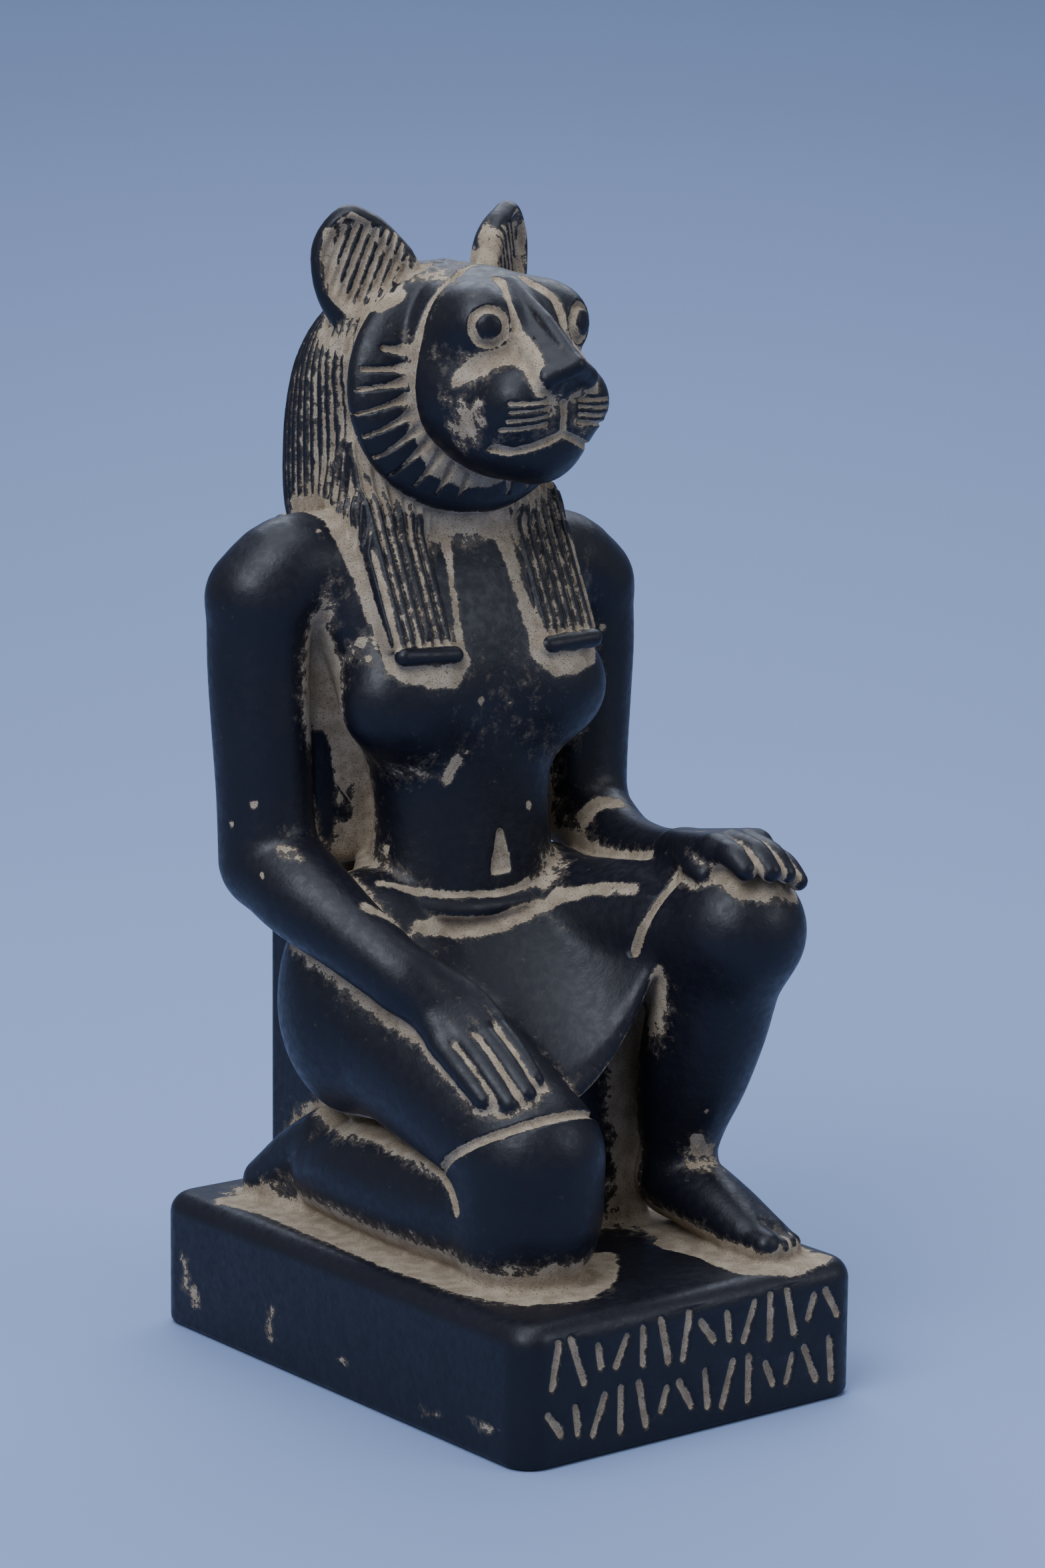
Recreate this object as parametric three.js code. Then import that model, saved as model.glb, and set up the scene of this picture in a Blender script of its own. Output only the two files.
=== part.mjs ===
// A kneeling lioness-headed goddess, cast in one piece with her back pillar and her plinth.
// Millimetres, +Z up. She faces -Y and her left hand is at +X; the origin is the middle of the underside.
// The casting is a field of distances, negative inside: rounded limbs, ovals and plates melt into each
// other, and carving is added as depth. The field is wrapped in a skin, which is thinned where it is flat.
import * as THREE from "three";

const { abs, atan2, ceil, cos, hypot, max, min, PI, sin, sqrt } = Math;

// Driving dimensions of the casting.
const PLINTH = { halfWidth: 47.6, halfDepth: 69.4, bottom: -0.8, top: 30.7, corner: 7, arris: 5, foot: 1.8 };
const PILLAR = { halfWidth: 22, front: 34, back: 61.5, top: 188.5 };
const HEAD = { y: 10.4, z: 226.2 };
const HAIR = { strandsRound: 72, pitch: 2.5, depth: 0.95 };
const CELL = 0.66;
const TRIANGLES = 9700;
const SPACE = { low: [-63.1, -72.3, -3.4], high: [63, 72, 264] };

// Blends and tools for forms. A form is a function of x, y, z.

const clamp = (v, a, b) => min(max(v, a), b);
const mix = (a, b, t) => a + (b - a) * t;
const ease = (a, b, v) => {
  const t = clamp((v - a) / (b - a), 0, 1);
  return t * t * (3 - 2 * t);
};
const melt = (a, b, k) => {
  const near = max(k - abs(a - b), 0) / k;
  return min(a, b) - (near * near * k) / 4;
};

function join(k, ...forms) {
  return (x, y, z) => {
    let d = forms[0](x, y, z);
    for (let i = 1; i < forms.length; i++) d = melt(d, forms[i](x, y, z), k);
    return d;
  };
}

function overlap(k, ...forms) {
  return (x, y, z) => {
    let d = -forms[0](x, y, z);
    for (let i = 1; i < forms.length; i++) d = melt(d, -forms[i](x, y, z), k);
    return -d;
  };
}

function without(k, form, ...cutters) {
  return (x, y, z) => {
    let d = -form(x, y, z);
    for (const cutter of cutters) d = melt(d, cutter(x, y, z), k);
    return -d;
  };
}

const mirrored = (form) => (x, y, z) => form(abs(x), y, z);

// Skips the work far from a box; there the distance to the box stands in for the form.
function near([x0, y0, z0], [x1, y1, z1], form) {
  return (x, y, z) => {
    const far = hypot(max(x0 - x, 0, x - x1), max(y0 - y, 0, y - y1), max(z0 - z, 0, z - z1));
    return far > 9 ? far : form(x, y, z);
  };
}

// Carving: the surface sinks by the depth that the relief gives there.
function carved(form, relief) {
  return (x, y, z) => {
    const d = form(x, y, z);
    return abs(d) < 2.5 ? d + relief(x, y, z) : d;
  };
}

// A round-ended limb that tapers from one ball to another.
function limb([ax, ay, az, ra], [bx, by, bz, rb]) {
  const [dx, dy, dz] = [bx - ax, by - ay, bz - az];
  const l2 = dx * dx + dy * dy + dz * dz;
  const rr = ra - rb;
  const a2 = l2 - rr * rr;
  return (x, y, z) => {
    const [px, py, pz] = [x - ax, y - ay, z - az];
    const t = px * dx + py * dy + pz * dz;
    const w = t - l2;
    const qx = px * l2 - dx * t;
    const qy = py * l2 - dy * t;
    const qz = pz * l2 - dz * t;
    const across = qx * qx + qy * qy + qz * qz;
    const k = Math.sign(rr) * rr * rr * across;
    if (Math.sign(w) * a2 * w * w * l2 > k) return sqrt(across + w * w * l2) / l2 - rb;
    if (Math.sign(t) * a2 * t * t * l2 < k) return sqrt(across + t * t * l2) / l2 - ra;
    return (sqrt((across * a2) / l2) + t * rr) / l2 - ra;
  };
}

// A smooth curve from p1 to p2 at t, 0 to 1; p0 and p3 are the points before and after them.
function curve(p0, p1, p2, p3, t) {
  return p1.map((v, j) => {
    const a = 2 * v;
    const b = (p2[j] - p0[j]) * t;
    const c = (2 * p0[j] - 5 * v + 4 * p2[j] - p3[j]) * t * t;
    const d = (3 * v - p0[j] - 3 * p2[j] + p3[j]) * t * t * t;
    return (a + b + c + d) / 2;
  });
}

// A closed outline drawn smoothly through its points.
function rounded(points, steps = 3) {
  const at = (i) => points[(i + points.length) % points.length];
  return points.flatMap((_, i) =>
    Array.from({ length: steps }, (_, s) => curve(at(i - 1), at(i), at(i + 1), at(i + 2), s / steps)),
  );
}

// A smooth limb through a list of [x, y, z, radius].
function sweep(...stops) {
  const n = stops.length - 1;
  const fine = [];
  const STEPS = n > 1 ? 4 : 1;
  for (let i = 0; i < n; i++)
    for (let s = 0; s < STEPS; s++) {
      const [before, after] = [stops[max(i - 1, 0)], stops[min(i + 2, n)]];
      fine.push(curve(before, stops[i], stops[i + 1], after, s / STEPS));
    }
  fine.push(stops[n]);
  const limbs = fine.slice(1).map((stop, i) => limb(fine[i], stop));
  const low = [0, 1, 2].map((j) => min(...fine.map((s) => s[j] - s[3])));
  const high = [0, 1, 2].map((j) => max(...fine.map((s) => s[j] + s[3])));
  return near(low, high, (x, y, z) => {
    let d = limbs[0](x, y, z);
    for (let i = 1; i < limbs.length; i++) d = min(d, limbs[i](x, y, z));
    return d;
  });
}

// Moves a form to a place and turns it about x, then y, then z, by degrees.
function placed(form, [cx, cy, cz], [a, b, c] = [0, 0, 0]) {
  const turn = new THREE.Euler((a * PI) / 180, (b * PI) / 180, (c * PI) / 180, "ZYX");
  const m = new THREE.Matrix4().makeRotationFromEuler(turn).elements;
  return (x, y, z) => {
    const [px, py, pz] = [x - cx, y - cy, z - cz];
    return form(
      m[0] * px + m[1] * py + m[2] * pz,
      m[4] * px + m[5] * py + m[6] * pz,
      m[8] * px + m[9] * py + m[10] * pz,
    );
  };
}

function egg(centre, [rx, ry, rz], degrees) {
  const round = (x, y, z) => {
    const k0 = hypot(x / rx, y / ry, z / rz);
    const k1 = hypot(x / (rx * rx), y / (ry * ry), z / (rz * rz));
    return k1 < 1e-9 ? -min(rx, ry, rz) : (k0 * (k0 - 1)) / k1;
  };
  const reach = max(rx, ry, rz);
  const low = centre.map((v) => v - reach);
  const high = centre.map((v) => v + reach);
  return near(low, high, placed(round, centre, degrees));
}

function block(centre, [hx, hy, hz], round, degrees) {
  const square = (x, y, z) => {
    const qx = abs(x) - hx + round;
    const qy = abs(y) - hy + round;
    const qz = abs(z) - hz + round;
    return hypot(max(qx, 0), max(qy, 0), max(qz, 0)) + min(max(qx, qy, qz), 0) - round;
  };
  return placed(square, centre, degrees);
}

// A plate: a fan of triangles padded all round.
function plate(pad, ...outline) {
  const points = outline.map((p) => new THREE.Vector3(...p));
  const fan = points.slice(2).map((p, i) => new THREE.Triangle(points[0], points[i + 1], p));
  const at = new THREE.Vector3();
  const foot = new THREE.Vector3();
  const low = [0, 1, 2].map((i) => min(...outline.map((p) => p[i])) - pad);
  const high = [0, 1, 2].map((i) => max(...outline.map((p) => p[i])) + pad);
  return near(low, high, (x, y, z) => {
    let d = 1e9;
    at.set(x, y, z);
    for (const triangle of fan) d = min(d, triangle.closestPointToPoint(at, foot).distanceTo(at));
    return d - pad;
  });
}

// An upright form with oval level sections: rows of [z, half width, half depth, y of the middle].
function stack(rows, squareness = 2) {
  const n = rows.length - 1;
  return (x, y, z) => {
    const level = clamp(z, rows[0][0], rows[n][0]);
    let i = 0;
    while (i < n - 1 && level > rows[i + 1][0]) i++;
    const [p0, p1, p2, p3] = [rows[max(i - 1, 0)], rows[i], rows[i + 1], rows[min(i + 2, n)]];
    const span = p2[0] - p1[0];
    const t = (level - p1[0]) / span;
    const value = (j) => {
      const m1 = ((p2[j] - p0[j]) / (p2[0] - p0[0])) * span;
      const m2 = ((p3[j] - p1[j]) / (p3[0] - p1[0])) * span;
      const rise = (3 - 2 * t) * t * t;
      return mix(p1[j], p2[j], rise) + t * (1 - t) * ((1 - t) * m1 - t * m2);
    };
    const a = value(1);
    const b = value(2);
    const u = abs(x) / a;
    const v = abs(y - value(3)) / b;
    const slope = mix((p2[1] - p0[1]) / (p2[0] - p0[0]), (p3[1] - p1[1]) / (p3[0] - p1[0]), t);
    const k0 = (u ** squareness + v ** squareness) ** (1 / squareness);
    const steep = hypot(u ** (squareness - 1) / a, v ** (squareness - 1) / b) * hypot(1, slope);
    const side = k0 > 1e-6 ? ((k0 - 1) * k0 ** (squareness - 1)) / steep : -min(a, b);
    const over = abs(z - level);
    return side > 0 ? hypot(side, over) : over > 0 ? max(side, over) : side;
  };
}

// Lines for carving. Each gives the distance from its line as seen from one side.

const fromFront = (x, y, z) => [x, z];
const fromSide = (x, y, z) => [y, z];

function strokes(seen, ...paths) {
  const pieces = paths.flatMap((path) => path.slice(1).map((p, i) => [...path[i], ...p]));
  return (x, y, z) => {
    const [u, v] = seen(x, y, z);
    let best = 9;
    for (const [u0, v0, u1, v1] of pieces) {
      const du = u1 - u0;
      const dv = v1 - v0;
      const t = clamp(((u - u0) * du + (v - v0) * dv) / (du * du + dv * dv), 0, 1);
      best = min(best, hypot(u - u0 - t * du, v - v0 - t * dv));
    }
    return best;
  };
}

// Depth of a rounded groove at a distance from its line.
const groove = (distance, half, depth) => (distance < half ? depth * (1 - (distance / half) ** 2) : 0);

// Plinth and back pillar.

function plinth(x, y, z) {
  const { halfWidth, halfDepth, bottom, top, corner, arris, foot } = PLINTH;
  const qx = abs(x) - halfWidth + corner;
  const qy = abs(y) - halfDepth + corner;
  const wall = hypot(max(qx, 0), max(qy, 0)) + min(max(qx, qy), 0) - corner;
  const r = z > (top + bottom) / 2 ? arris : foot;
  const lid = abs(z - (top + bottom) / 2) - (top - bottom) / 2;
  return hypot(max(wall + r, 0), max(lid + r, 0)) + min(max(wall, lid) + r, 0) - r;
}

const pillar = block(
  [0, (PILLAR.front + PILLAR.back) / 2, PILLAR.top / 2 + 6],
  [PILLAR.halfWidth, (PILLAR.back - PILLAR.front) / 2, PILLAR.top / 2 - 6],
  2.5,
);

// Her right leg kneels: thigh, knee on the ground, calf and the foot on its toes behind.

const rightHip = egg([-24, 17, 84], [21.5, 21.5, 29]);
const rightThigh = sweep(
  [-24, 14, 80, 20],
  [-24, -8, 72.5, 18.2],
  [-23.5, -26, 65, 17],
  [-22.8, -38, 58.5, 16],
);
const rightKnee = sweep([-22.5, -38.5, 57.5, 16.3], [-22.5, -38.5, 46, 16.3], [-22.5, -37, 38, 14.5]);
const rightCalf = sweep(
  [-23, -34, 44, 15],
  [-24.5, -8, 43.5, 14.8],
  [-25.5, 14, 43, 13],
  [-26.2, 28, 41, 10.2],
);
const rightFoot = join(
  3,
  sweep([-26.8, 30, 48.6, 7], [-27.8, 41.6, 42, 6.2], [-29.4, 52, 34.2, 4.9]),
  plate(4.9, [-26.6, 36, 42], [-29.2, 51, 33], [-26.6, 32, 32]),
);

// Her left leg is raised: thigh level, shin upright and the foot flat.

const leftHip = egg([22, 17, 88], [22, 22, 26]);
const leftThigh = sweep([23, 12, 92, 19.5], [28, -18, 98, 16], [32, -43, 102.4, 14.4]);
const leftShin = sweep(
  [32, -43, 102.4, 14.4],
  [31.8, -37.6, 92, 13.7],
  [31.8, -33.6, 80, 13.3],
  [31.6, -29.6, 68, 12.1],
  [31.6, -26, 58, 10.2],
  [31.8, -24.8, 50, 8.4],
  [32, -24, 42, 8.4],
);
const leftFoot = join(
  2.5,
  sweep([31.6, -23.4, 41.4, 8.6], [30, -39, 38.6, 7.4], [28.8, -51, 35.6, 5.3]),
  sweep([33.2, -25, 40, 7.8], [33.8, -41, 37.2, 6.2], [34.2, -53, 34.4, 4.2]),
);
const toes = join(
  0.7,
  sweep([28.2, -49, 35.2, 4.2], [27.8, -59.6, 34.2, 3.5]),
  sweep([31.4, -51, 35, 2.9], [31.6, -60.4, 33.4, 2.3]),
  sweep([34.2, -51, 34.8, 2.8], [34.8, -59.4, 33.2, 2.2]),
  sweep([36.8, -49, 34, 2.7], [37.6, -57, 32.8, 2.2]),
);

// The gap between the legs stays filled, set back behind the kilt.

const legWeb = join(3, block([5, 10, 56], [27, 26, 30], 4), egg([0, 20, 87], [25, 16, 12]));

// The kilt is stretched between the thighs and sags to its hem.

const HEM = -33.5;
function kilt(x, y, z) {
  const s = clamp((x + 20) / 42, -0.2, 1.15);
  const right = 97 + 0.72 * min(y, 0);
  const left = 108.5 - 0.04 * y;
  const sag = 15 * clamp(-y / 33, 0, 1.2) * 4 * s * (1 - s);
  const top = mix(right, left, s) - sag;
  const slope = hypot(1, 0.85);
  const above = (z - top) / slope;
  const below = (top - 5.5 + 0.5 * (HEM - y) - z) / slope;
  const front = HEM - 0.6 * s - y;
  const aside = abs(x - 1) - 25;
  const behind = y - 7;
  return -melt(melt(melt(-above, -front, 3), -below, 2), -max(aside, behind), 2);
}

// Torso. The level sections run from the hips up to the neck.

const torso = stack(
  [
    [88, 29, 16, 21],
    [97, 28.5, 17.5, 19.5],
    [106, 25, 16.8, 17.6],
    [114, 22.5, 15, 16.2],
    [124, 21.5, 14, 16],
    [134, 22.5, 14.5, 16.8],
    [145, 26, 16, 18],
    [157, 31, 17.6, 19.8],
    [168, 35, 17.4, 22],
    [179, 36, 15.5, 24.6],
    [188, 28, 12.6, 26.6],
    [198, 15, 11, 27],
  ],
  2.35,
);
const breasts = mirrored(egg([19.4, 11.2, 151.5], [15.8, 11.6, 13.5]));
const shoulders = join(
  3,
  sweep([-24, 28, 182.6, 10], [-38, 29.4, 180, 12.3], [-45, 30.6, 174.2, 12.4]),
  sweep([24, 28, 181, 10], [38, 29, 176.6, 12], [45.2, 30, 170.6, 12.2]),
);
const armWeb = block([0, 35, 150], [38, 8, 38], 4);

const beltLine = (y) => 104.6 + 0.3 * (y - 0.8);
const belt = (x, y, z) => hypot(torso(x, y, z) - 0.2, (z - beltLine(y)) * 0.95) - 2.4;
const navel = plate(0.9, [0, 1.6, 121], [-1.9, 1.4, 112.6], [1.9, 1.4, 112.6]);

// Arms and hands. The right hand lies on the kneeling thigh, the left one on the raised knee.

const rightArm = join(
  2,
  sweep(
    [-45.4, 30.6, 174, 11.9],
    [-45.3, 31.5, 160, 11.4],
    [-45, 31, 146, 11.1],
    [-44.2, 30.8, 130, 10.8],
    [-43.6, 30.2, 115.4, 11.2],
  ),
  sweep(
    [-43.2, 28, 114, 11],
    [-42.8, 17, 109, 10.6],
    [-40.5, 4, 102.6, 8.8],
    [-37.2, -9, 95.6, 7.6],
    [-35, -15, 91, 5.6],
  ),
);
const leftArm = join(
  2,
  sweep(
    [45.6, 30.6, 171, 12.2],
    [46.4, 30.4, 158, 11.9],
    [46, 30, 146, 11.5],
    [44.8, 29, 130, 11.1],
    [43.8, 27, 119, 10.6],
  ),
  sweep([43.4, 24, 117, 10.2], [40.6, 9, 112.2, 8.8], [36.6, -8, 112.8, 7.2], [33, -22, 115.2, 6.4]),
);

const wrist = [-35.2, -11, 93.8, 6];
const rightPalm = join(
  3,
  sweep(wrist, [-34.6, -19, 86.6, 4.2], [-35.3, -24.6, 81.6, 2.9]),
  sweep(wrist, [-31.6, -18.6, 88.6, 4.6], [-31.9, -26, 83.8, 3]),
  sweep(wrist, [-28, -18.4, 89.6, 4.6], [-27.6, -27, 84.9, 3]),
  sweep(wrist, [-24.6, -18, 89.4, 4.2], [-22.6, -26, 85.2, 2.9]),
);
const rightFingers = join(
  0.5,
  sweep([-35.6, -23, 82.4, 2.7], [-35.6, -31.6, 77.4, 2.6], [-35.1, -38.8, 72.5, 2.2]),
  sweep([-32, -24.2, 84.8, 2.7], [-32.2, -34.4, 78.6, 2.6], [-31.8, -43.2, 72.1, 2.3]),
  sweep([-27.6, -25.4, 85.6, 2.7], [-27.8, -35.6, 79.9, 2.6], [-27.8, -44, 74, 2.3]),
  sweep([-22.8, -25, 85.8, 2.6], [-23.3, -34.1, 81.2, 2.4], [-24, -42, 76.2, 2.1]),
);

const leftPalm = plate(4.2, [31, -23, 117.6], [26, -43, 120.6], [37, -43, 120.6], [35, -23, 117.6]);
const leftFingers = join(
  0.6,
  sweep([25.8, -42, 121.4, 3.2], [25, -49, 121, 3], [25, -53.6, 118.4, 2.5]),
  sweep([30, -43, 122.2, 3.2], [29.6, -51.4, 121.4, 3], [29.8, -56.4, 118, 2.4]),
  sweep([34.4, -43, 121.8, 3.1], [34.4, -51.2, 120.4, 2.9], [34.8, -55.8, 117, 2.3]),
  sweep([38.4, -41, 119.4, 2.9], [39, -50, 118, 2.6], [39.2, -55, 114.6, 2.2]),
);
const leftThumb = sweep([27.6, -32, 116.8, 3.6], [23.6, -38, 117, 3], [22.8, -42.4, 115.8, 2.4]);

// Head. A lioness's face in a disc, the ruff below it, two cupped ears and the long wig.

const skull = egg([0, 12, 225.6], [21, 22, 21.8]);
const brows = mirrored(egg([8.7, 0.6, 235], [9.6, 11.8, 9.8], [0, 0, 20]));
const cheeks = mirrored(egg([10.6, 4, 219.6], [10, 13, 12]));
const pads = join(2, mirrored(egg([8.2, -11, 218.8], [8, 10, 8.6])), egg([0, -11.4, 217.4], [6, 8.2, 7]));
const jaw = join(3, egg([0, -2.6, 210.4], [15.6, 15.6, 9.6]), egg([0, -10.2, 210], [9.6, 8.2, 9.2]));
const nose = mirrored(
  join(
    1.6,
    plate(
      1.8,
      [0, 0, 243.6],
      [0, -13, 236.2],
      [0, -23.6, 227.6],
      [5.6, -20.6, 224.6],
      [4, -9, 234.6],
      [2.8, 1, 243],
    ),
    plate(1.8, [4, -9, 234.6], [5.6, -20.6, 224.6], [5.4, -14, 221.5], [6.4, -6, 227]),
    plate(1.6, [0, -23.8, 227.6], [5.8, -20.6, 224.6], [0, -17.4, 220.8]),
    plate(3, [0, -13, 224], [4, -11, 222], [0, -12.4, 213]),
    plate(4, [0, -8, 233], [0, -17, 226.2], [3, -10, 222]),
  ),
);
const ruff = overlap(
  1.6,
  egg([0, 16, 219.4], [31.6, 9.4, 28], [-7, 0, 0]),
  (x, y, z) => abs(y - 17) - 14,
);
const wig = stack([
  [182, 25.6, 24, 38.4],
  [192, 28.4, 25.6, 38.4],
  [204, 29, 26.2, 38],
  [216, 29, 26.6, 36.2],
  [227, 28.2, 26.2, 32.6],
  [236, 24.2, 23.2, 29.4],
  [242.6, 16.6, 17, 27],
  [246.6, 8.6, 10, 24.6],
  [247.8, 2, 3, 23],
]);
const lappets = mirrored(
  join(
    3,
    block([20.2, 14.2, 178.6], [9, 5.4, 19], 3.4, [-25, 0, 0]),
    plate(3.4, [23, 24, 206], [25.4, 29, 196], [25.4, 20, 188], [15.4, 16.4, 192], [19, 20, 202]),
  ),
);
const lappetEnds = mirrored(
  near([8, -4, 156], [32, 8, 168], sweep([13.2, 2, 162.2, 2.2], [26.6, 2.4, 162.8, 2.2])),
);

// A point of the left ear: outward across it, up from its tip, and out of its cup.
const earPoint = ([across, up, out]) => [
  23.1 + 0.8 * across + 0.543 * out,
  30.8 + 0.52 * across - 0.84 * out,
  260 + up,
];
const leaf = (out, points) => rounded(points).map(([across, up]) => earPoint([across, up, out]));
const earRim = [
  [-1, -3],
  [-4.6, -3.9],
  [-8.6, -6.4],
  [-15, -13.8],
  [-12, -20],
  [-2, -25.6],
  [2.8, -20],
  [4.4, -12],
  [3, -7],
];
const cupRim = [[-2, -4.8], [-7.4, -9.2], [-13, -15.6], [-9.4, -20.2], [-2, -21], [1.8, -16], [2.4, -10]];
const earShell = join(
  2,
  plate(2.9, ...leaf(0.5, earRim)),
  placed(egg([0, 0, 0], [9.6, 5, 12]), earPoint([-4, -15, -1.6]), [0, 0, 33]),
);
const earCup = plate(2.4, ...leaf(4, cupRim));
const ears = mirrored(near([0, 8, 226], [38, 46, 262], without(1.2, earShell, earCup)));

// Carving in the head and the hair.

// Each ray runs out from the rim of the face at an angle, wide there and pointed at its outer end.
const RAY_START = 19;
const rayEnds = [
  { angle: 8, end: 25 },
  { angle: -2, end: 29.4 },
  { angle: -10, end: 31 },
  { angle: -19, end: 32.4 },
  { angle: -28, end: 33.2 },
  { angle: -37, end: 33.6 },
  { angle: -46, end: 33.6 },
  { angle: -56, end: 32.4 },
  { angle: -66, end: 31.4 },
  { angle: -77, end: 30.6 },
];
const ruffRays = mirrored(
  strokes(
    fromFront,
    ...rayEnds.map(({ angle, end }) => {
      const a = (angle * PI) / 180;
      return [RAY_START, end].map((r) => [r * cos(a), HEAD.z + r * sin(a)]);
    }),
  ),
);
const whiskers = mirrored(
  strokes(
    fromFront,
    ...[0, 1, 2, 3].map((i) => [
      [4.4, 219.7 - 1.65 * i],
      [13.4, 219.4 - 1.9 * i],
    ]),
  ),
);
const mouth = mirrored(
  strokes(
    fromFront,
    [
      [0, 212.4],
      [3.6, 211],
      [7.4, 209.6],
      [10.4, 208.6],
      [12.6, 209.3],
    ],
    [
      [0, 219],
      [0, 212.4],
    ],
  ),
);
const browLines = mirrored(
  strokes(fromFront, [
    [3.4, 244.8],
    [6.2, 241.4],
    [6.7, 238],
    [6.5, 234.6],
  ]),
);
// Where the rim of the face lies: level with the cheeks, and further back over the crown.
const rimLine = (x, z) => 7.3 + 4.2 * ease(55, 90, (atan2(z - HEAD.z, abs(x)) * 180) / PI);
const eyeRing = mirrored((x, y, z) => {
  const u = (x - 11.7) * cos(0.5) + (y + 7.2) * sin(0.5);
  return abs(hypot(u, z - 235.3) - 3.8);
});
function faceRelief(x, y, z) {
  if (y > 16) return 0;
  let depth = 0;
  if (y < 1) {
    depth += groove(eyeRing(x, y, z), 1.05, 0.95);
    depth += groove(whiskers(x, y, z), 0.6, 0.6);
    depth += groove(mouth(x, y, z), 1, 1);
    depth += groove(browLines(x, y, z), 1.1, 0.7);
  }
  if (z > 201) depth += groove(abs(y - rimLine(x, z)), 1.1, 1.1);
  return depth;
}
function ruffRelief(x, y, z) {
  if (y < rimLine(x, z) || y > 20) return 0;
  const half = clamp(1.5 - 0.1 * (hypot(x, z - HEAD.z) - RAY_START - 2), 0.4, 1.5);
  return groove(ruffRays(x, y, z), half, 1);
}

// Strands: round the wig by angle, and along the lappets by width.
const ridge = (phase) => (1 - cos(2 * PI * phase)) / 2;
const roundWig = (x, y) => ridge((atan2(x, y - 31) / (2 * PI)) * HAIR.strandsRound + 0.5);
function hairRelief(x, y, z) {
  const crown = ease(239, 243, z);
  const over = ridge(x / HAIR.pitch) * ease(28, 24, y);
  const throat = abs(x) < 16 ? ease(14, 18, y) : 1;
  return HAIR.depth * mix(roundWig(x, y), over, crown) * throat;
}
function lappetRelief(x, y, z) {
  const side = ease(26.5, 28, abs(x)) * ease(184, 188, z);
  const strand = mix(ridge((abs(x) - 11.2) / HAIR.pitch), roundWig(x, y), side);
  return HAIR.depth * strand * ease(162, 164, z) * mix(ease(210, 200, z), 1, side);
}

// Carving in the body: the crease of the kneeling leg, the hem over its knee and the strokes in the plinth.

const crease = strokes(
  fromSide,
  [
    [26, 59.5],
    [16, 57],
    [0, 56.4],
    [-16, 56],
    [-26, 54],
    [-31, 51],
    [-33.5, 47.5],
  ],
);
const kneeHem = strokes(
  fromSide,
  [
    [-27, 54.5],
    [-33, 59.5],
    [-40, 63.8],
    [-46, 67],
    [-51, 70],
  ],
);
const STROKES = { columns: 14, first: -39, pitch: 6, rows: [21.8, 8.8] };
const inscription = strokes(
  fromFront,
  ...Array.from({ length: 2 * STROKES.columns }, (_, i) => {
    const column = i % STROKES.columns;
    const row = (i - column) / STROKES.columns;
    const x = STROKES.first + STROKES.pitch * column;
    const z = STROKES.rows[row];
    const tall = [4.8, 3, 5, 4, 2.4][(i * 7 + row) % 5];
    const lean = [0.8, -1.1, 0, 1.5, -0.4, -1.8][(i * 5 + row) % 6];
    return [
      [x - lean, z - tall],
      [x + lean, z + tall],
    ];
  }),
);
function bodyRelief(x, y, z) {
  let depth = 0;
  if (x > 14 && z > 96 && z < 117) depth += groove(abs(y + 34 - 0.33 * (112 - z)), 1.3, 1.1);
  if (x < -22 && z < 62) depth += groove(crease(x, y, z), 1.5, 1.5);
  if (x < -6 && y < -28 && z > 54) depth += groove(kneeHem(x, y, z), 1.2, 1);
  if (y < -66) depth += groove(inscription(x, y, z), 1.1, 0.8);
  return depth;
}

// The whole figure.

const legs = join(
  2.2,
  join(3, join(5, rightHip, rightThigh), rightKnee),
  rightCalf,
  rightFoot,
  join(4, leftHip, leftThigh, leftShin),
  join(2, leftShin, leftFoot),
  toes,
);
const seated = join(2.5, plinth, legs, legWeb, kilt);
const trunk = join(3, join(4, join(7, torso, breasts), shoulders), armWeb);
const body = join(2.5, seated, trunk, pillar);
const dressed = join(0.9, without(0.5, body, navel), belt);
const armed = join(
  1.4,
  dressed,
  near([-60, -50, 60], [-14, 46, 190], join(0.8, join(2, rightArm, rightPalm), rightFingers)),
  near([18, -70, 104], [60, 46, 190], join(1.2, join(2, leftArm, leftPalm, leftThumb), leftFingers)),
);
const face = join(4.5, join(4, skull, brows, cheeks, jaw), pads);
const head = join(2.2, face, nose);
const statue = join(
  0.9,
  carved(armed, bodyRelief),
  near(
    [-34, -28, 156],
    [34, 70, 262],
    join(
      0.8,
      join(4, carved(wig, hairRelief), carved(lappets, lappetRelief)),
      lappetEnds,
      join(1, carved(ruff, ruffRelief), join(2, carved(head, faceRelief), ears)),
    ),
  ),
);

// The skin. Where the field changes sign along a grid edge there is a corner; the corners of one cell are
// strung into loops, face by face, and every loop is filled with triangles.

const CORNERS = Array.from({ length: 8 }, (_, c) => [c & 1, (c >> 1) & 1, c >> 2]);
const FACES = [
  [0, 4, 6, 2],
  [1, 3, 7, 5],
  [0, 1, 5, 4],
  [2, 6, 7, 3],
  [0, 2, 3, 1],
  [4, 5, 7, 6],
];

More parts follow.
